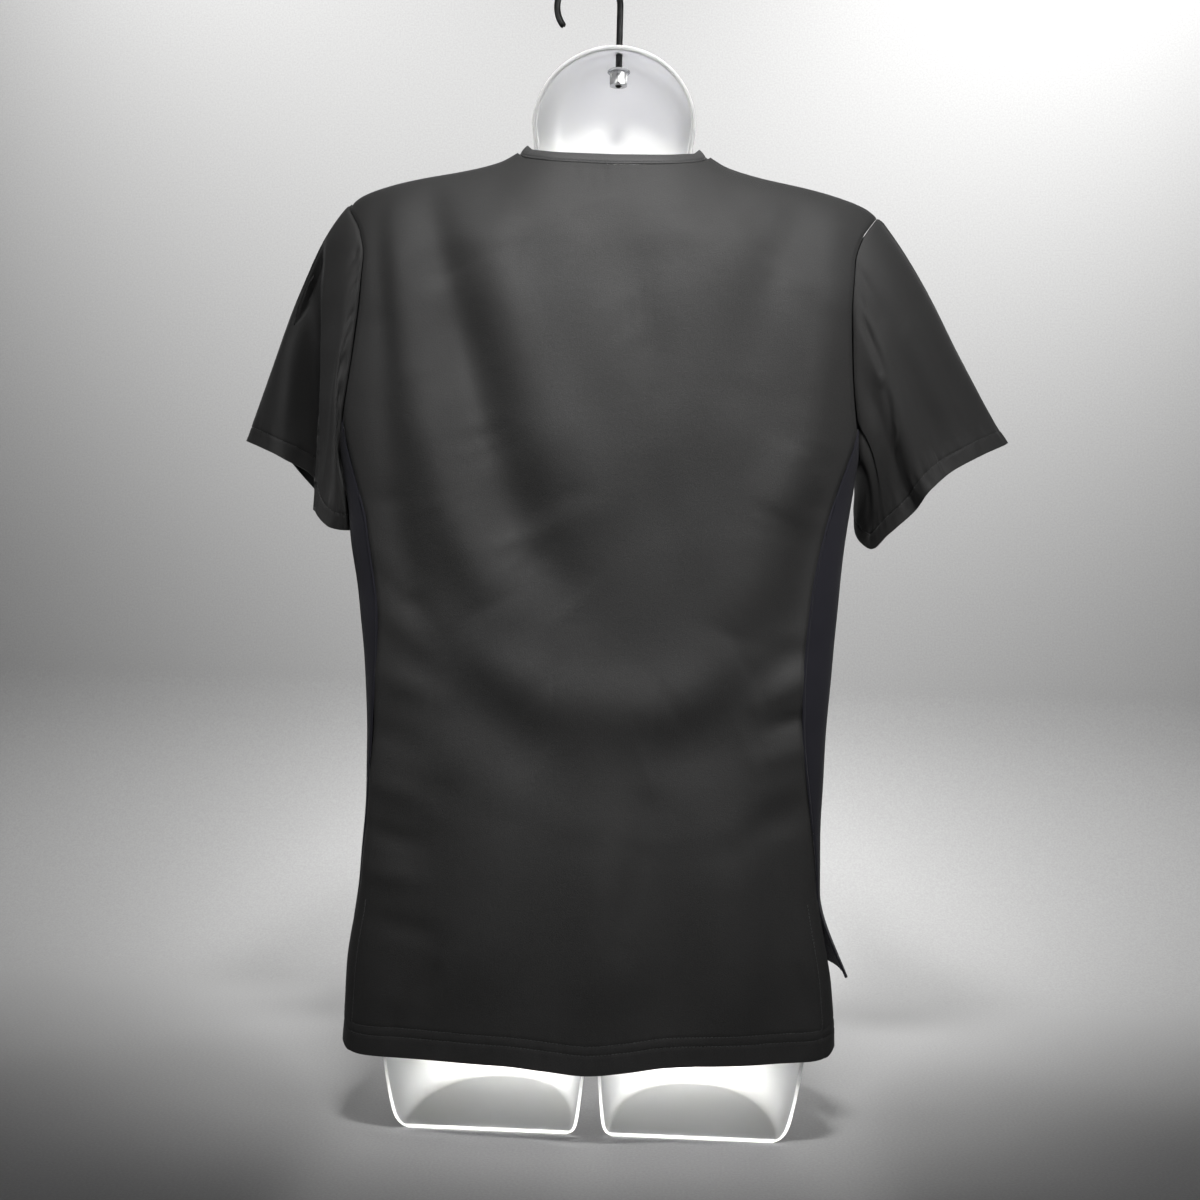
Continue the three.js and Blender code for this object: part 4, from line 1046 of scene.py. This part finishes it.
back_rim, back_rim_way = smooth_rim(True)
front_rim, front_rim_way = smooth_rim(False)
neck_loop, neck_ways = neckline_loop()
before = unit(np.cross(neck_ways, neck_loop - np.roll(neck_loop, 1, axis=0)))
after = unit(np.cross(neck_ways, np.roll(neck_loop, -1, axis=0) - neck_loop))
mitre = (before + after) / (1 + (before * after).sum(-1, keepdims=True))
over_neck = neck_loop * np.array([0, 0, 1]) + np.array([0, -20, 60]) - neck_loop
mitre = mitre * np.sign((mitre * over_neck).sum(-1, keepdims=True))
lift = seam_gap + band_steps[:, None, None]
crown = band_crown * np.sin(np.pi * band_steps / band_height) ** 0.5
crown = crown - stitch_sink(band_steps, band_stitch, 0.3, 0.4)
band_points = neck_loop + mitre * lift + neck_ways * crown[:, None, None]
band_normals = grid_normals(band_points, neck_ways, True)
band_walls = 1.5 + crown
neck_binding = cloth_piece(
    "neck_binding", band_points, band_normals, band_walls, band_cloth, is_tube=True)
print("neckband", round(float(lengths_along(neck_loop[None], 1).max())), "mm round")

# %% [markdown]
# ## Stitches
# A machine stitch is a short thread that dips into the cloth at both ends. There are over a
# thousand on the top, all alike, so Geometry Nodes place them: one small bead, copied to
# points that carry the direction of the seam and of the cloth's face.
# %% Build the stitch tree
def stitch_tree():
    tree = bpy.data.node_groups.new("row_of_stitches", "GeometryNodeTree")
    tree.is_modifier = True
    face = tree.interface
    face.new_socket("Geometry", in_out="INPUT", socket_type="NodeSocketGeometry")
    for name, value in (("Stitch Length", 0.0022), ("Thread Width", 0.0005), ("Unevenness", 0.12)):
        socket = face.new_socket(name, in_out="INPUT", socket_type="NodeSocketFloat")
        socket.default_value = value
    face.new_socket("Seed", in_out="INPUT", socket_type="NodeSocketInt").default_value = 7
    face.new_socket("Thread", in_out="INPUT", socket_type="NodeSocketMaterial")
    face.new_socket("Geometry", in_out="OUTPUT", socket_type="NodeSocketGeometry")

    def add(kind, inputs=None, **fields):
        return add_node(tree, kind, inputs, **fields)

    given = add("NodeGroupInput").outputs
    bead = add("GeometryNodeMeshUVSphere", {"Segments": 8, "Rings": 5, "Radius": 0.5})
    length, width = given["Stitch Length"], given["Thread Width"]
    shape = add("ShaderNodeCombineXYZ", {"X": length, "Y": width, "Z": width})
    sized = add("GeometryNodeTransform", {"Geometry": bead.outputs["Mesh"],
                                          "Scale": shape.outputs["Vector"]})
    carried = [add("GeometryNodeInputNamedAttribute", {"Name": attribute}, data_type="FLOAT_VECTOR")
               for attribute in ("along", "up")]
    along, up = (node.outputs["Attribute"] for node in carried)
    turned = add("FunctionNodeAxesToRotation", {"Primary Axis": along, "Secondary Axis": up},
                 primary_axis="X", secondary_axis="Z")
    least, most = (add("ShaderNodeMath", {0: 1.0, 1: given["Unevenness"]}, operation=kind)
                   for kind in ("SUBTRACT", "ADD"))
    uneven = add("FunctionNodeRandomValue", {"Seed": given["Seed"]})
    limits = [socket for socket in uneven.inputs if socket.type == "VALUE" and socket.enabled]
    for limit, node in zip(limits, (least, most)):
        tree.links.new(node.outputs[0], limit)
    scale = next(socket for socket in uneven.outputs if socket.type == "VALUE" and socket.enabled)
    placed = add("GeometryNodeInstanceOnPoints", {
        "Points": given["Geometry"], "Instance": sized.outputs["Geometry"],
        "Rotation": turned.outputs["Rotation"], "Scale": scale})
    real = add("GeometryNodeRealizeInstances", {"Geometry": placed.outputs["Instances"]})
    dressed = add("GeometryNodeSetMaterial", {"Geometry": real.outputs["Geometry"],
                                              "Material": given["Thread"]})
    add("NodeGroupOutput", {"Geometry": dressed.outputs["Geometry"]})
    return tree


stitches = stitch_tree()
print("tree inputs:", [item.name for item in stitches.interface.items_tree])


# %% Lay a row of stitches along a seam
def spaced(line, ways, pitch, is_round=False):
    """Evenly spaced places on a line, with its direction and the cloth's face."""
    if is_round:
        line, ways = np.vstack([line, line[:1]]), np.vstack([ways, ways[:1]])
    reached = lengths_along(line[None], 1)[0]
    places = np.arange(pitch / 2, reached[-1], pitch)
    point = np.stack([np.interp(places, reached, line[:, k]) for k in range(3)], -1)
    up = unit(np.stack([np.interp(places, reached, ways[:, k]) for k in range(3)], -1))
    ahead = np.stack([np.interp(places + 0.5, reached, line[:, k]) for k in range(3)], -1)
    behind = np.stack([np.interp(places - 0.5, reached, line[:, k]) for k in range(3)], -1)
    return point, unit(ahead - behind), up


def sew(name, rows, pitch, thread, width=0.5, proud=0.08, seed=7):
    """One plain mesh of stitches from rows of (line, face directions, is round)."""
    parts = [spaced(line, ways, pitch, is_round) for line, ways, is_round in rows]
    point, along, up = (np.concatenate(k) for k in zip(*parts))
    mesh = bpy.data.meshes.new(name)
    mesh.from_pydata(to_row(point + up * proud).tolist(), [], [])
    for label, values in (("along", along), ("up", up)):
        mesh.attributes.new(label, "FLOAT_VECTOR", "POINT").data.foreach_set(
            "vector", values.astype(np.float32).ravel())
    holder = bpy.data.objects.new(name + "_places", mesh)
    bpy.context.scene.collection.objects.link(holder)
    modifier = holder.modifiers.new("stitches", "NODES")
    modifier.node_group = stitches
    wanted = {"Stitch Length": pitch * 0.00082, "Thread Width": width / 1000, "Seed": seed,
              "Thread": thread}
    for item in stitches.interface.items_tree:
        if item.name in wanted:
            modifier[item.identifier] = wanted[item.name]
    ready = holder.evaluated_get(bpy.context.evaluated_depsgraph_get())
    plain = bpy.data.meshes.new_from_object(ready)
    plain.name = name
    bpy.data.objects.remove(holder)
    plain.materials.clear()
    plain.shade_smooth()
    sewn = new_object(name, plain, thread)
    print(name, len(point), "stitches")
    return sewn


def row_at(from_hem, distance):
    """The row of a grid that lies at a distance from the hem."""
    return int(np.argmin(np.abs(from_hem[:, from_hem.shape[1] // 2] - distance)))


shares = column_shares()
vent_column = int(np.argmin(np.abs((1 - shares) * edge_span - vent_stitch)))
other_vent = len(shares) - 1 - vent_column
upper = row_at(back_from_hem, hem_stitches[1])
vent_rows = [i for i in range(len(back_points)) if i >= upper and back_points[i, 0, 2] < vent_top]
inner = slice(other_vent, vent_column + 1)
back_rows = [(back_points[row, inner], back_normals[row, inner], False)
             for row in (row_at(back_from_hem, d) for d in hem_stitches)]
back_rows += [(back_points[vent_rows, c], back_normals[vent_rows, c], False)
              for c in (vent_column, other_vent)]
back_stitches = sew("back_stitches", back_rows, 2.7, cloth_thread)
front_rows = [(front_points[row], front_normals[row], False)
              for row in (row_at(front_from_hem, d) for d in hem_stitches)]
front_stitches = sew("front_stitches", front_rows, 2.7, cloth_thread, seed=8)

# %% Sew the sleeves, side panels and neckband
sleeve_sewing = {}
for edge, (points, normals, from_hem) in sleeve_grids.items():
    row = int(np.argmin(np.abs(from_hem[:, 0] - sleeve_stitch)))
    sleeve_sewing[edge] = sew(
        f"sleeve_stitches_{edge}", [(points[row], normals[row], True)], 2.9, cloth_thread, seed=9)
side_sewing = {}
for edge, side in (("left", 1), ("right", -1)):
    points = side_grids[edge]
    normals = grid_normals(points, np.array([float(side), 0, 0]))
    row = int(np.argmin(np.abs(hem_steps - hem_stitches[0])))
    side_sewing[edge] = sew(
        f"side_stitches_{edge}", [(points[row, 2:-2], normals[row, 2:-2], False)], 2.7, cloth_thread)
band_row = int(np.argmin(np.abs(band_steps - band_stitch)))
band_stitches = sew(
    "neckband_stitches", [(band_points[band_row], band_normals[band_row], True)], 2.2,
    cloth_thread, width=0.45, seed=10)

# %% [markdown]
# ## The torso form
# The form is one thin moulding of milky plastic, open at the back: a chest, a domed neck and
# two short thigh stubs with flat ends. It is lofted from rounded ovals, joined, hollowed and
# cut flat at the back, and the cut edge of the neck gets the rolled lip of a moulded edge.
# %% Give the form's sizes
form_wall = 2.4
form_power = 2.3
form_top = 818
dome_centre = 757
dome_half = 61.5
dome_depth = 46
# The neck and dome are squarer in plan, which leaves a flat disc at the front
dome_power = 3.6
dome_front_curve = 0.6
# The bead of the lip: how far in from the edge, how deep behind it, and its radius
bead_inset, bead_back, bead_radius = 3.0, 0.4, 1.0
# z, half width, depth to the front
form_sections = (
    (62, 120, 90),
    (72, 152, 118),
    (90, 164, 134),
    (140, 162, 138),
    (220, 150, 132),
    (330, 138, 118),
    (420, 148, 130),
    (520, 165, 148),
    (600, 172, 128),
    (655, 172, 98),
    (678, 164, 84),
    (692, 142, 74),
    (702, 110, 64),
    (710, 80, 55),
    (718, 63, 50),
    (730, 58.5, 47),
    (742, 59.5, 46),
    (757, 61.5, 46),
)
# z, middle, half width, depth to the front
stub_sections = (
    (0, 77, 60, 120),
    (2, 77.2, 64.7, 127),
    (7, 78.2, 68.7, 131),
    (16, 79.2, 71.2, 133),
    (50, 81, 76, 134),
    (80, 82.5, 78, 134),
    (110, 82, 76, 130),
)
hook_x, hook_y = -2, -14
hook_rod = 5
body_half, body_front = curve(form_sections, 1), curve(form_sections, 2)
stub_middle, stub_half, stub_front = (curve(stub_sections, k) for k in (1, 2, 3))
print("form", form_top, "mm tall")


# %% Loft, join and hollow the form
def oval(middle_x, half, front, z, sides, power=form_power):
    """A ring at one height: an ellipse at power 2, and squarer above it."""
    turn = np.linspace(0, 2 * math.pi, sides, endpoint=False)
    c, s = np.cos(turn), np.sin(turn)
    x = middle_x + half * np.sign(c) * np.abs(c) ** (2 / power)
    y = front * np.sign(s) * np.abs(s) ** (2 / power)
    return np.stack([x, y, np.full(sides, float(z))], -1)


def loft(name, rings):
    """A closed solid through rings of equal count, with a fan at each end."""
    count = len(rings[0])
    verts = np.concatenate(rings + [rings[0].mean(0)[None], rings[-1].mean(0)[None]])
    faces = []
    for i in range(len(rings) - 1):
        for j in range(count):
            k = (j + 1) % count
            faces.append((i * count + j, i * count + k, (i + 1) * count + k, (i + 1) * count + j))
    low, high = len(verts) - 2, len(verts) - 1
    last = (len(rings) - 1) * count
    for j in range(count):
        k = (j + 1) % count
        faces.append((low, k, j))
        faces.append((high, last + j, last + k))
    mesh = bpy.data.meshes.new(name)
    mesh.from_pydata(to_row(verts).tolist(), [], faces)
    made = bpy.data.objects.new(name, mesh)
    bpy.context.scene.collection.objects.link(made)
    return made


def body_loft(name, inset):
    heights = np.concatenate([[62, 66, 72, 80], np.arange(90, 640, 14), np.arange(640, 756, 4), [757]])
    squarer = form_power + (dome_power - form_power) * np.clip((heights - 715) / 30, 0, 1)
    rings = [oval(0, body_half(z) - inset, body_front(z) - inset, max(z, 62 + inset), 96, power)
             for z, power in zip(heights, squarer)]
    rise = form_top - dome_centre - inset
    for lift in np.radians(np.linspace(5, 87, 20)):
        half = (dome_half - inset) * math.cos(lift)
        front = (dome_depth - inset) * math.cos(lift) ** dome_front_curve
        rings.append(oval(0, half, front, dome_centre + rise * math.sin(lift), 96, dome_power))
    return loft(name, rings)


def stub_loft(name, side, inset):
    heights = np.concatenate([[0, 0.6, 1.2, 2, 3, 4.5, 7, 10, 13, 16], np.arange(22, 111, 8)])
    rings = [oval(side * stub_middle(z), stub_half(z) - inset, stub_front(z) - inset,
                  max(z, inset), 72) for z in heights]
    return loft(name, rings)


def combine(base, other, operation):
    """Joins or cuts one solid with another and deletes the second."""
    change = base.modifiers.new("join", "BOOLEAN")
    change.operation, change.object, change.solver = operation, other, "MANIFOLD"
    ready = base.evaluated_get(bpy.context.evaluated_depsgraph_get())
    mesh = bpy.data.meshes.new_from_object(ready)
    base.modifiers.clear()
    base.data = mesh
    bpy.data.objects.remove(other)


form_shell = body_loft("form_shell", 0)
hollow = body_loft("hollow", form_wall)
for side in (1, -1):
    combine(form_shell, stub_loft("stub", side, 0), "UNION")
    combine(hollow, stub_loft("stub_hollow", side, form_wall), "UNION")
combine(form_shell, hollow, "DIFFERENCE")
behind = loft("behind", [np.array([[-300, 0, z], [300, 0, z], [300, 300, z], [-300, 300, z]], float)
                         for z in (-50, 900)])
combine(form_shell, behind, "DIFFERENCE")
rod_turn = np.linspace(0, 2 * math.pi, 24, endpoint=False)
rod_circle = np.stack([np.cos(rod_turn), np.sin(rod_turn), 0 * rod_turn], -1) * (hook_rod / 2 + 0.3)
rod_hole = loft("rod_hole", [rod_circle + np.array([hook_x, hook_y, z]) for z in (760, 860)])
combine(form_shell, rod_hole, "DIFFERENCE")
print("form shell", len(form_shell.data.vertices), "points")

# %% [markdown]
# The milky plastic lets a little light through and scatters it, so thin places look brighter.
# Subsurface scattering gives that, and a faint wave in the surface breaks up its reflections,
# as on a real vacuum moulding.
# %% Finish the form
plastic = Finish("milky_plastic", Base_Color=(0.82, 0.83, 0.85, 1), Subsurface_Weight=1.0,
                 Subsurface_Radius=(0.02, 0.02, 0.022), Subsurface_Scale=1.0,
                 Specular_IOR_Level=0.5, Coat_Weight=0.15)
plastic_place = plastic.place()
plastic_cloud = plastic.noise(plastic_place, 6, 3)
plastic_tone = plastic.ramp(plastic_cloud, (0.93, 0.935, 0.94, 1), (0.96, 0.965, 0.975, 1))
plastic.link(plastic_tone, "Base Color")
plastic.link(plastic.spread(plastic.noise(plastic_place, 40, 3), 0.26, 0.38), "Roughness")
plastic.link(plastic.bump(plastic.noise(plastic_place, 14, 2), 0.15, 0.002), "Normal")
form_shell.data.materials.clear()
form_shell.data.materials.append(plastic.material)
form_shell.data.shade_smooth()
form_shell.data.set_sharp_from_angle(angle=math.radians(38))
rim = form_shell.modifiers.new("rim", "BEVEL")
rim.width, rim.segments, rim.limit_method, rim.angle_limit = 0.0006, 2, "ANGLE", math.radians(60)
rim.harden_normals = False


# %% [markdown]
# A rolled lip runs along the cut edge of the neck, seen as a second bright line just inside
# it. It is a thin round bead, so it is swept along the outline as a tube and joined on.
# %% Sweep the lip, the hook and the small fittings
def tube(name, path, radius, sides, material, is_loop=False):
    """A round tube along a smooth path, with rounded ends where it is open."""
    path = np.asarray(path, float)
    count = len(path)
    if is_loop:
        way = unit(np.roll(path, -1, 0) - np.roll(path, 1, 0))
    else:
        way = unit(np.gradient(path, axis=0))
    guide = np.array([0, 1.0, 0])
    side_way = unit(np.cross(way, guide))
    up_way = np.cross(side_way, way)
    radii = np.full(count, float(radius))
    if not is_loop:
        cap = np.array([0.0, 0.5, 0.8, 0.95, 1])
        path = np.vstack([path[:1]] * 5 + [path[1:-1]] + [path[-1:]] * 5)
        back = np.sqrt(1 - cap ** 2) * radius
        path[:5] -= np.outer(back, way[0])
        path[-5:] += np.outer(back[::-1], way[-1])
        side_way = np.vstack([side_way[:1]] * 5 + [side_way[1:-1]] + [side_way[-1:]] * 5)
        up_way = np.vstack([up_way[:1]] * 5 + [up_way[1:-1]] + [up_way[-1:]] * 5)
        radii = np.concatenate([cap * radius, np.full(count - 2, float(radius)), cap[::-1] * radius])
        radii = np.maximum(radii, 0.01)
    turn = np.linspace(0, 2 * math.pi, sides, endpoint=False)[:, None]
    rings = [p + (s * np.cos(turn) + u * np.sin(turn)) * r
             for p, s, u, r in zip(path, side_way, up_way, radii)]
    verts = np.concatenate(rings)
    total = len(rings)
    spans = total if is_loop else total - 1
    faces = []
    for i in range(spans):
        for j in range(sides):
            k, n = (j + 1) % sides, (i + 1) % total
            faces.append((i * sides + j, i * sides + k, n * sides + k, n * sides + j))
    if not is_loop:
        faces.append(tuple(range(sides))[::-1])
        faces.append(tuple((total - 1) * sides + j for j in range(sides)))
    mesh = bpy.data.meshes.new(name)
    mesh.from_pydata(to_row(verts).tolist(), [], faces)
    mesh.shade_smooth()
    return new_object(name, mesh, material)


dark_steel = Finish("dark_steel", Base_Color=(0.03, 0.03, 0.032, 1), Metallic=0.85)
steel_place = dark_steel.place()
steel_wear = dark_steel.noise(steel_place, 120, 4)
steel_tone = dark_steel.ramp(steel_wear, grey(0.022), grey(0.06), 0.35, 0.75)
dark_steel.link(steel_tone, "Base Color")
dark_steel.link(dark_steel.spread(steel_wear, 0.24, 0.42), "Roughness")
dark_steel.link(dark_steel.bump(dark_steel.noise(steel_place, 400, 3), 0.2, 0.0002), "Normal")
hook_radius = 24
hook_turns = np.radians(np.linspace(0, 215, 60))
hook_path = np.vstack([
    np.stack([np.full(30, float(hook_x)), np.full(30, float(hook_y)), np.linspace(792.5, 851, 30)], -1),
    np.stack([hook_x + hook_radius * (1 - np.cos(hook_turns)), np.full(60, float(hook_y)),
              852 + hook_radius * np.sin(hook_turns)], -1),
])
hook = tube("hook_rod", hook_path, hook_rod / 2, 20, dark_steel.material)


# The lip runs over the dome and down both sides of the neck, to under the cloth
bead_low = 684
rise = form_top - dome_centre - bead_inset
over_dome = [((dome_half - bead_inset) * math.cos(a), dome_centre + rise * math.sin(a))
             for a in np.radians(np.linspace(88, 2, 30))]
down_neck = [(float(body_half(z)) - bead_inset, z) for z in range(dome_centre - 1, bead_low - 1, -4)]
half_line = np.array(over_dome + down_neck)
whole_line = np.concatenate([half_line[::-1] * [-1, 1], half_line])
bead_path = np.insert(whole_line, 1, -bead_back, axis=1)
combine(form_shell, tube("bead", bead_path, bead_radius, 12, plastic.material), "UNION")
print("hook", len(hook.data.vertices), "points")


# %% Turn the washer and the nut
def turned_ring(name, profile, sides, material, hex_across=None):
    """A ring from a closed profile of (radius, height), round or with six flats."""
    turn = np.linspace(0, 2 * math.pi, sides, endpoint=False)
    rings = []
    for radius, z in profile:
        reach = np.full(sides, float(radius))
        if hex_across is not None and radius > hook_rod / 2 + 0.5:
            flat = hex_across / 2 / np.cos((turn + math.pi / 6) % (math.pi / 3) - math.pi / 6)
            reach = np.minimum(flat, radius)
        rings.append(np.stack([hook_x + reach * np.cos(turn), hook_y + reach * np.sin(turn),
                               np.full(sides, float(z))], -1))
    verts = np.concatenate(rings)
    total = len(rings)
    faces = [(i * sides + j, i * sides + (j + 1) % sides,
              (i + 1) % total * sides + (j + 1) % sides, (i + 1) % total * sides + j)
             for i in range(total) for j in range(sides)]
    mesh = bpy.data.meshes.new(name)
    mesh.from_pydata(to_row(verts).tolist(), [], faces)
    mesh.shade_smooth()
    mesh.set_sharp_from_angle(angle=math.radians(30))
    return new_object(name, mesh, material)


zinc = Finish("bright_zinc", Base_Color=(0.5, 0.5, 0.51, 1), Metallic=1.0)
zinc_grain = zinc.noise(zinc.place(), 260, 4)
zinc.link(zinc.ramp(zinc_grain, grey(0.42), grey(0.62)), "Base Color")
zinc.link(zinc.spread(zinc_grain, 0.2, 0.38), "Roughness")
zinc.link(zinc.bump(zinc_grain, 0.2, 0.0002), "Normal")
clear = Finish("clear_plastic", Base_Color=(0.9, 0.91, 0.93, 1), Transmission_Weight=0.7, IOR=1.49)
clear_place = clear.place()
clear.link(clear.spread(clear.noise(clear_place, 90, 3), 0.08, 0.22), "Roughness")
clear.link(clear.bump(clear.noise(clear_place, 60, 2), 0.15, 0.0005), "Normal")
bore = hook_rod / 2 + 0.25
washer_top = form_top - 14.5
washer = turned_ring("clear_washer", (
    (bore, washer_top - 2.5), (7.9, washer_top - 2.5), (8.5, washer_top - 1.9),
    (8.5, washer_top - 0.6), (7.9, washer_top), (bore, washer_top)), 48, clear.material)
nut_top = washer_top - 2.8
nut = turned_ring("hex_nut", (
    (bore, nut_top - 9), (6.6, nut_top - 9), (7.5, nut_top - 8.1), (7.5, nut_top - 0.9),
    (6.6, nut_top), (bore, nut_top)), 72, zinc.material, hex_across=13)
print("washer and nut under the dome at", round(nut_top), "mm")

# %% [markdown]
# ## Put the new pieces in place of the plain ones
# Every new piece stands for a solid of the plain model, which is hidden, and rides on the one
# rigid body. The stitches ride on it too.
form_nodes = [f"form_{length}_{edge}" for length in ("stub", "hip", "waist", "chest", "shoulder")
              for edge in ("left", "right")] + ["form_dome"]
standing_for = (
    (back_cloth, "back_panel", "main_cloth"),
    (front_cloth, "front_panel", "main_cloth"),
    (side_cloths["left"], "side_panel_left", "side_knit"),
    (side_cloths["right"], "side_panel_right", "side_knit"),
    *((sleeve_cloths[edge], f"sleeve_{edge}_{half}", "main_cloth")
      for edge in ("left", "right") for half in ("back", "front")),
    (neck_binding, "neckband", "neck_binding"),
    *((form_shell, node, "form_plastic") for node in form_nodes),
    (hook, "form_hook", "hook_steel"),
    (washer, "hook_washer", "washer_plastic"),
    (nut, "hook_nut", "nut_steel"),
)
for piece, node, slot in standing_for:
    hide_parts(node)
    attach(piece, "root")
sewn_on = (back_stitches, front_stitches, *sleeve_sewing.values(), *side_sewing.values())
for piece in sewn_on:
    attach(piece, "root")
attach(band_stitches, "root")
print(len(standing_for) + len(sewn_on) + 1, "pieces ride on the body")

# %% [markdown]
# ## Floor and light
# The form stands on a pale floor that sweeps up behind it into a plain grey backdrop. One
# small lamp hangs high before the cloth and is aimed at its middle, so that the hem stays
# dark. Two weak ones lift the shadows at the sides, and a low one lights the stubs' ends. Two
# more stand behind the milky form, which makes it glow, and two light the backdrop.
# %% Make the floor and the lamps
sweep = []
for y, z in [(0.5, 0), (-0.35, 0)] + [(-0.35 - 0.3 * math.sin(a), 0.3 - 0.3 * math.cos(a))
                                      for a in np.radians(np.linspace(10, 90, 9))] + [(-0.65, 3.5)]:
    sweep.append((y, z))
floor_mesh = bpy.data.meshes.new("floor")
floor_verts = [(x, y, z) for y, z in sweep for x in (-3.5, 3.5)]
floor_faces = [(2 * i, 2 * i + 1, 2 * i + 3, 2 * i + 2) for i in range(len(sweep) - 1)]
floor_mesh.from_pydata(floor_verts, [], floor_faces)
floor_mesh.shade_smooth()
paper = Finish("pale_backdrop", Specular_IOR_Level=0.2, Roughness=0.8)
paper_grain = paper.noise(paper.place(), 500, 2)
paper.link(paper.ramp(paper_grain, grey(0.33, 0.005), grey(0.38, 0.005)), "Base Color")
floor = new_object("floor", floor_mesh, paper.material)


def lamp(name, place, aim, size, power, spread):
    """A soft lamp in metres and watts; spread is the full angle of its beam in degrees."""
    data = bpy.data.lights.new(name, "AREA")
    data.shape, data.size, data.size_y = "RECTANGLE", size[0], size[1]
    data.energy, data.spread = power, math.radians(spread)
    made = bpy.data.objects.new(name, data)
    way = Vector(aim) - Vector(place)
    made.matrix_world = Matrix.Translation(place) @ way.to_track_quat("-Z", "Y").to_matrix().to_4x4()
    made.visible_camera = False
    bpy.context.scene.collection.objects.link(made)


# name, place, aim, size in metres, watts, beam in degrees
for row in (
    ("key", (-0.04, 0.78, 1.5), (-0.01, 0.08, 0.52), (0.3, 0.12), 1.25, 32),
    ("fill_left", (1.3, 1.1, 0.9), (0.1, 0.0, 0.6), (0.6, 0.6), 0.35, 50),
    ("fill_right", (-1.3, 1.1, 1.1), (-0.1, 0.0, 0.68), (0.6, 0.6), 0.85, 46),
    ("rim_light", (0.0, 0.9, 0.012), (0.0, 0.07, 0.002), (0.4, 0.02), 0.36, 7),
    ("behind_stubs", (0.0, -0.38, 0.1), (0.0, 0.0, 0.04), (0.3, 0.1), 0.12, 70),
    ("behind_neck", (0.0, -0.25, 0.84), (0.0, 0.0, 0.79), (0.1, 0.06), 0.06, 60),
    ("backdrop_left", (0.6, -0.1, 1.9), (0.45, -0.65, 0.9), (0.8, 0.4), 7.6, 70),
    ("backdrop_right", (-0.6, -0.1, 1.9), (-0.45, -0.65, 0.95), (0.8, 0.4), 9.5, 66),
):
    lamp(*row)
world = bpy.data.worlds.new("studio")
world.use_nodes = True
world.node_tree.nodes["Background"].inputs["Color"].default_value = (0.9, 0.93, 1.0, 1)
world.node_tree.nodes["Background"].inputs["Strength"].default_value = 0.04
bpy.context.scene.world = world
bpy.context.scene.view_settings.view_transform = "Standard"
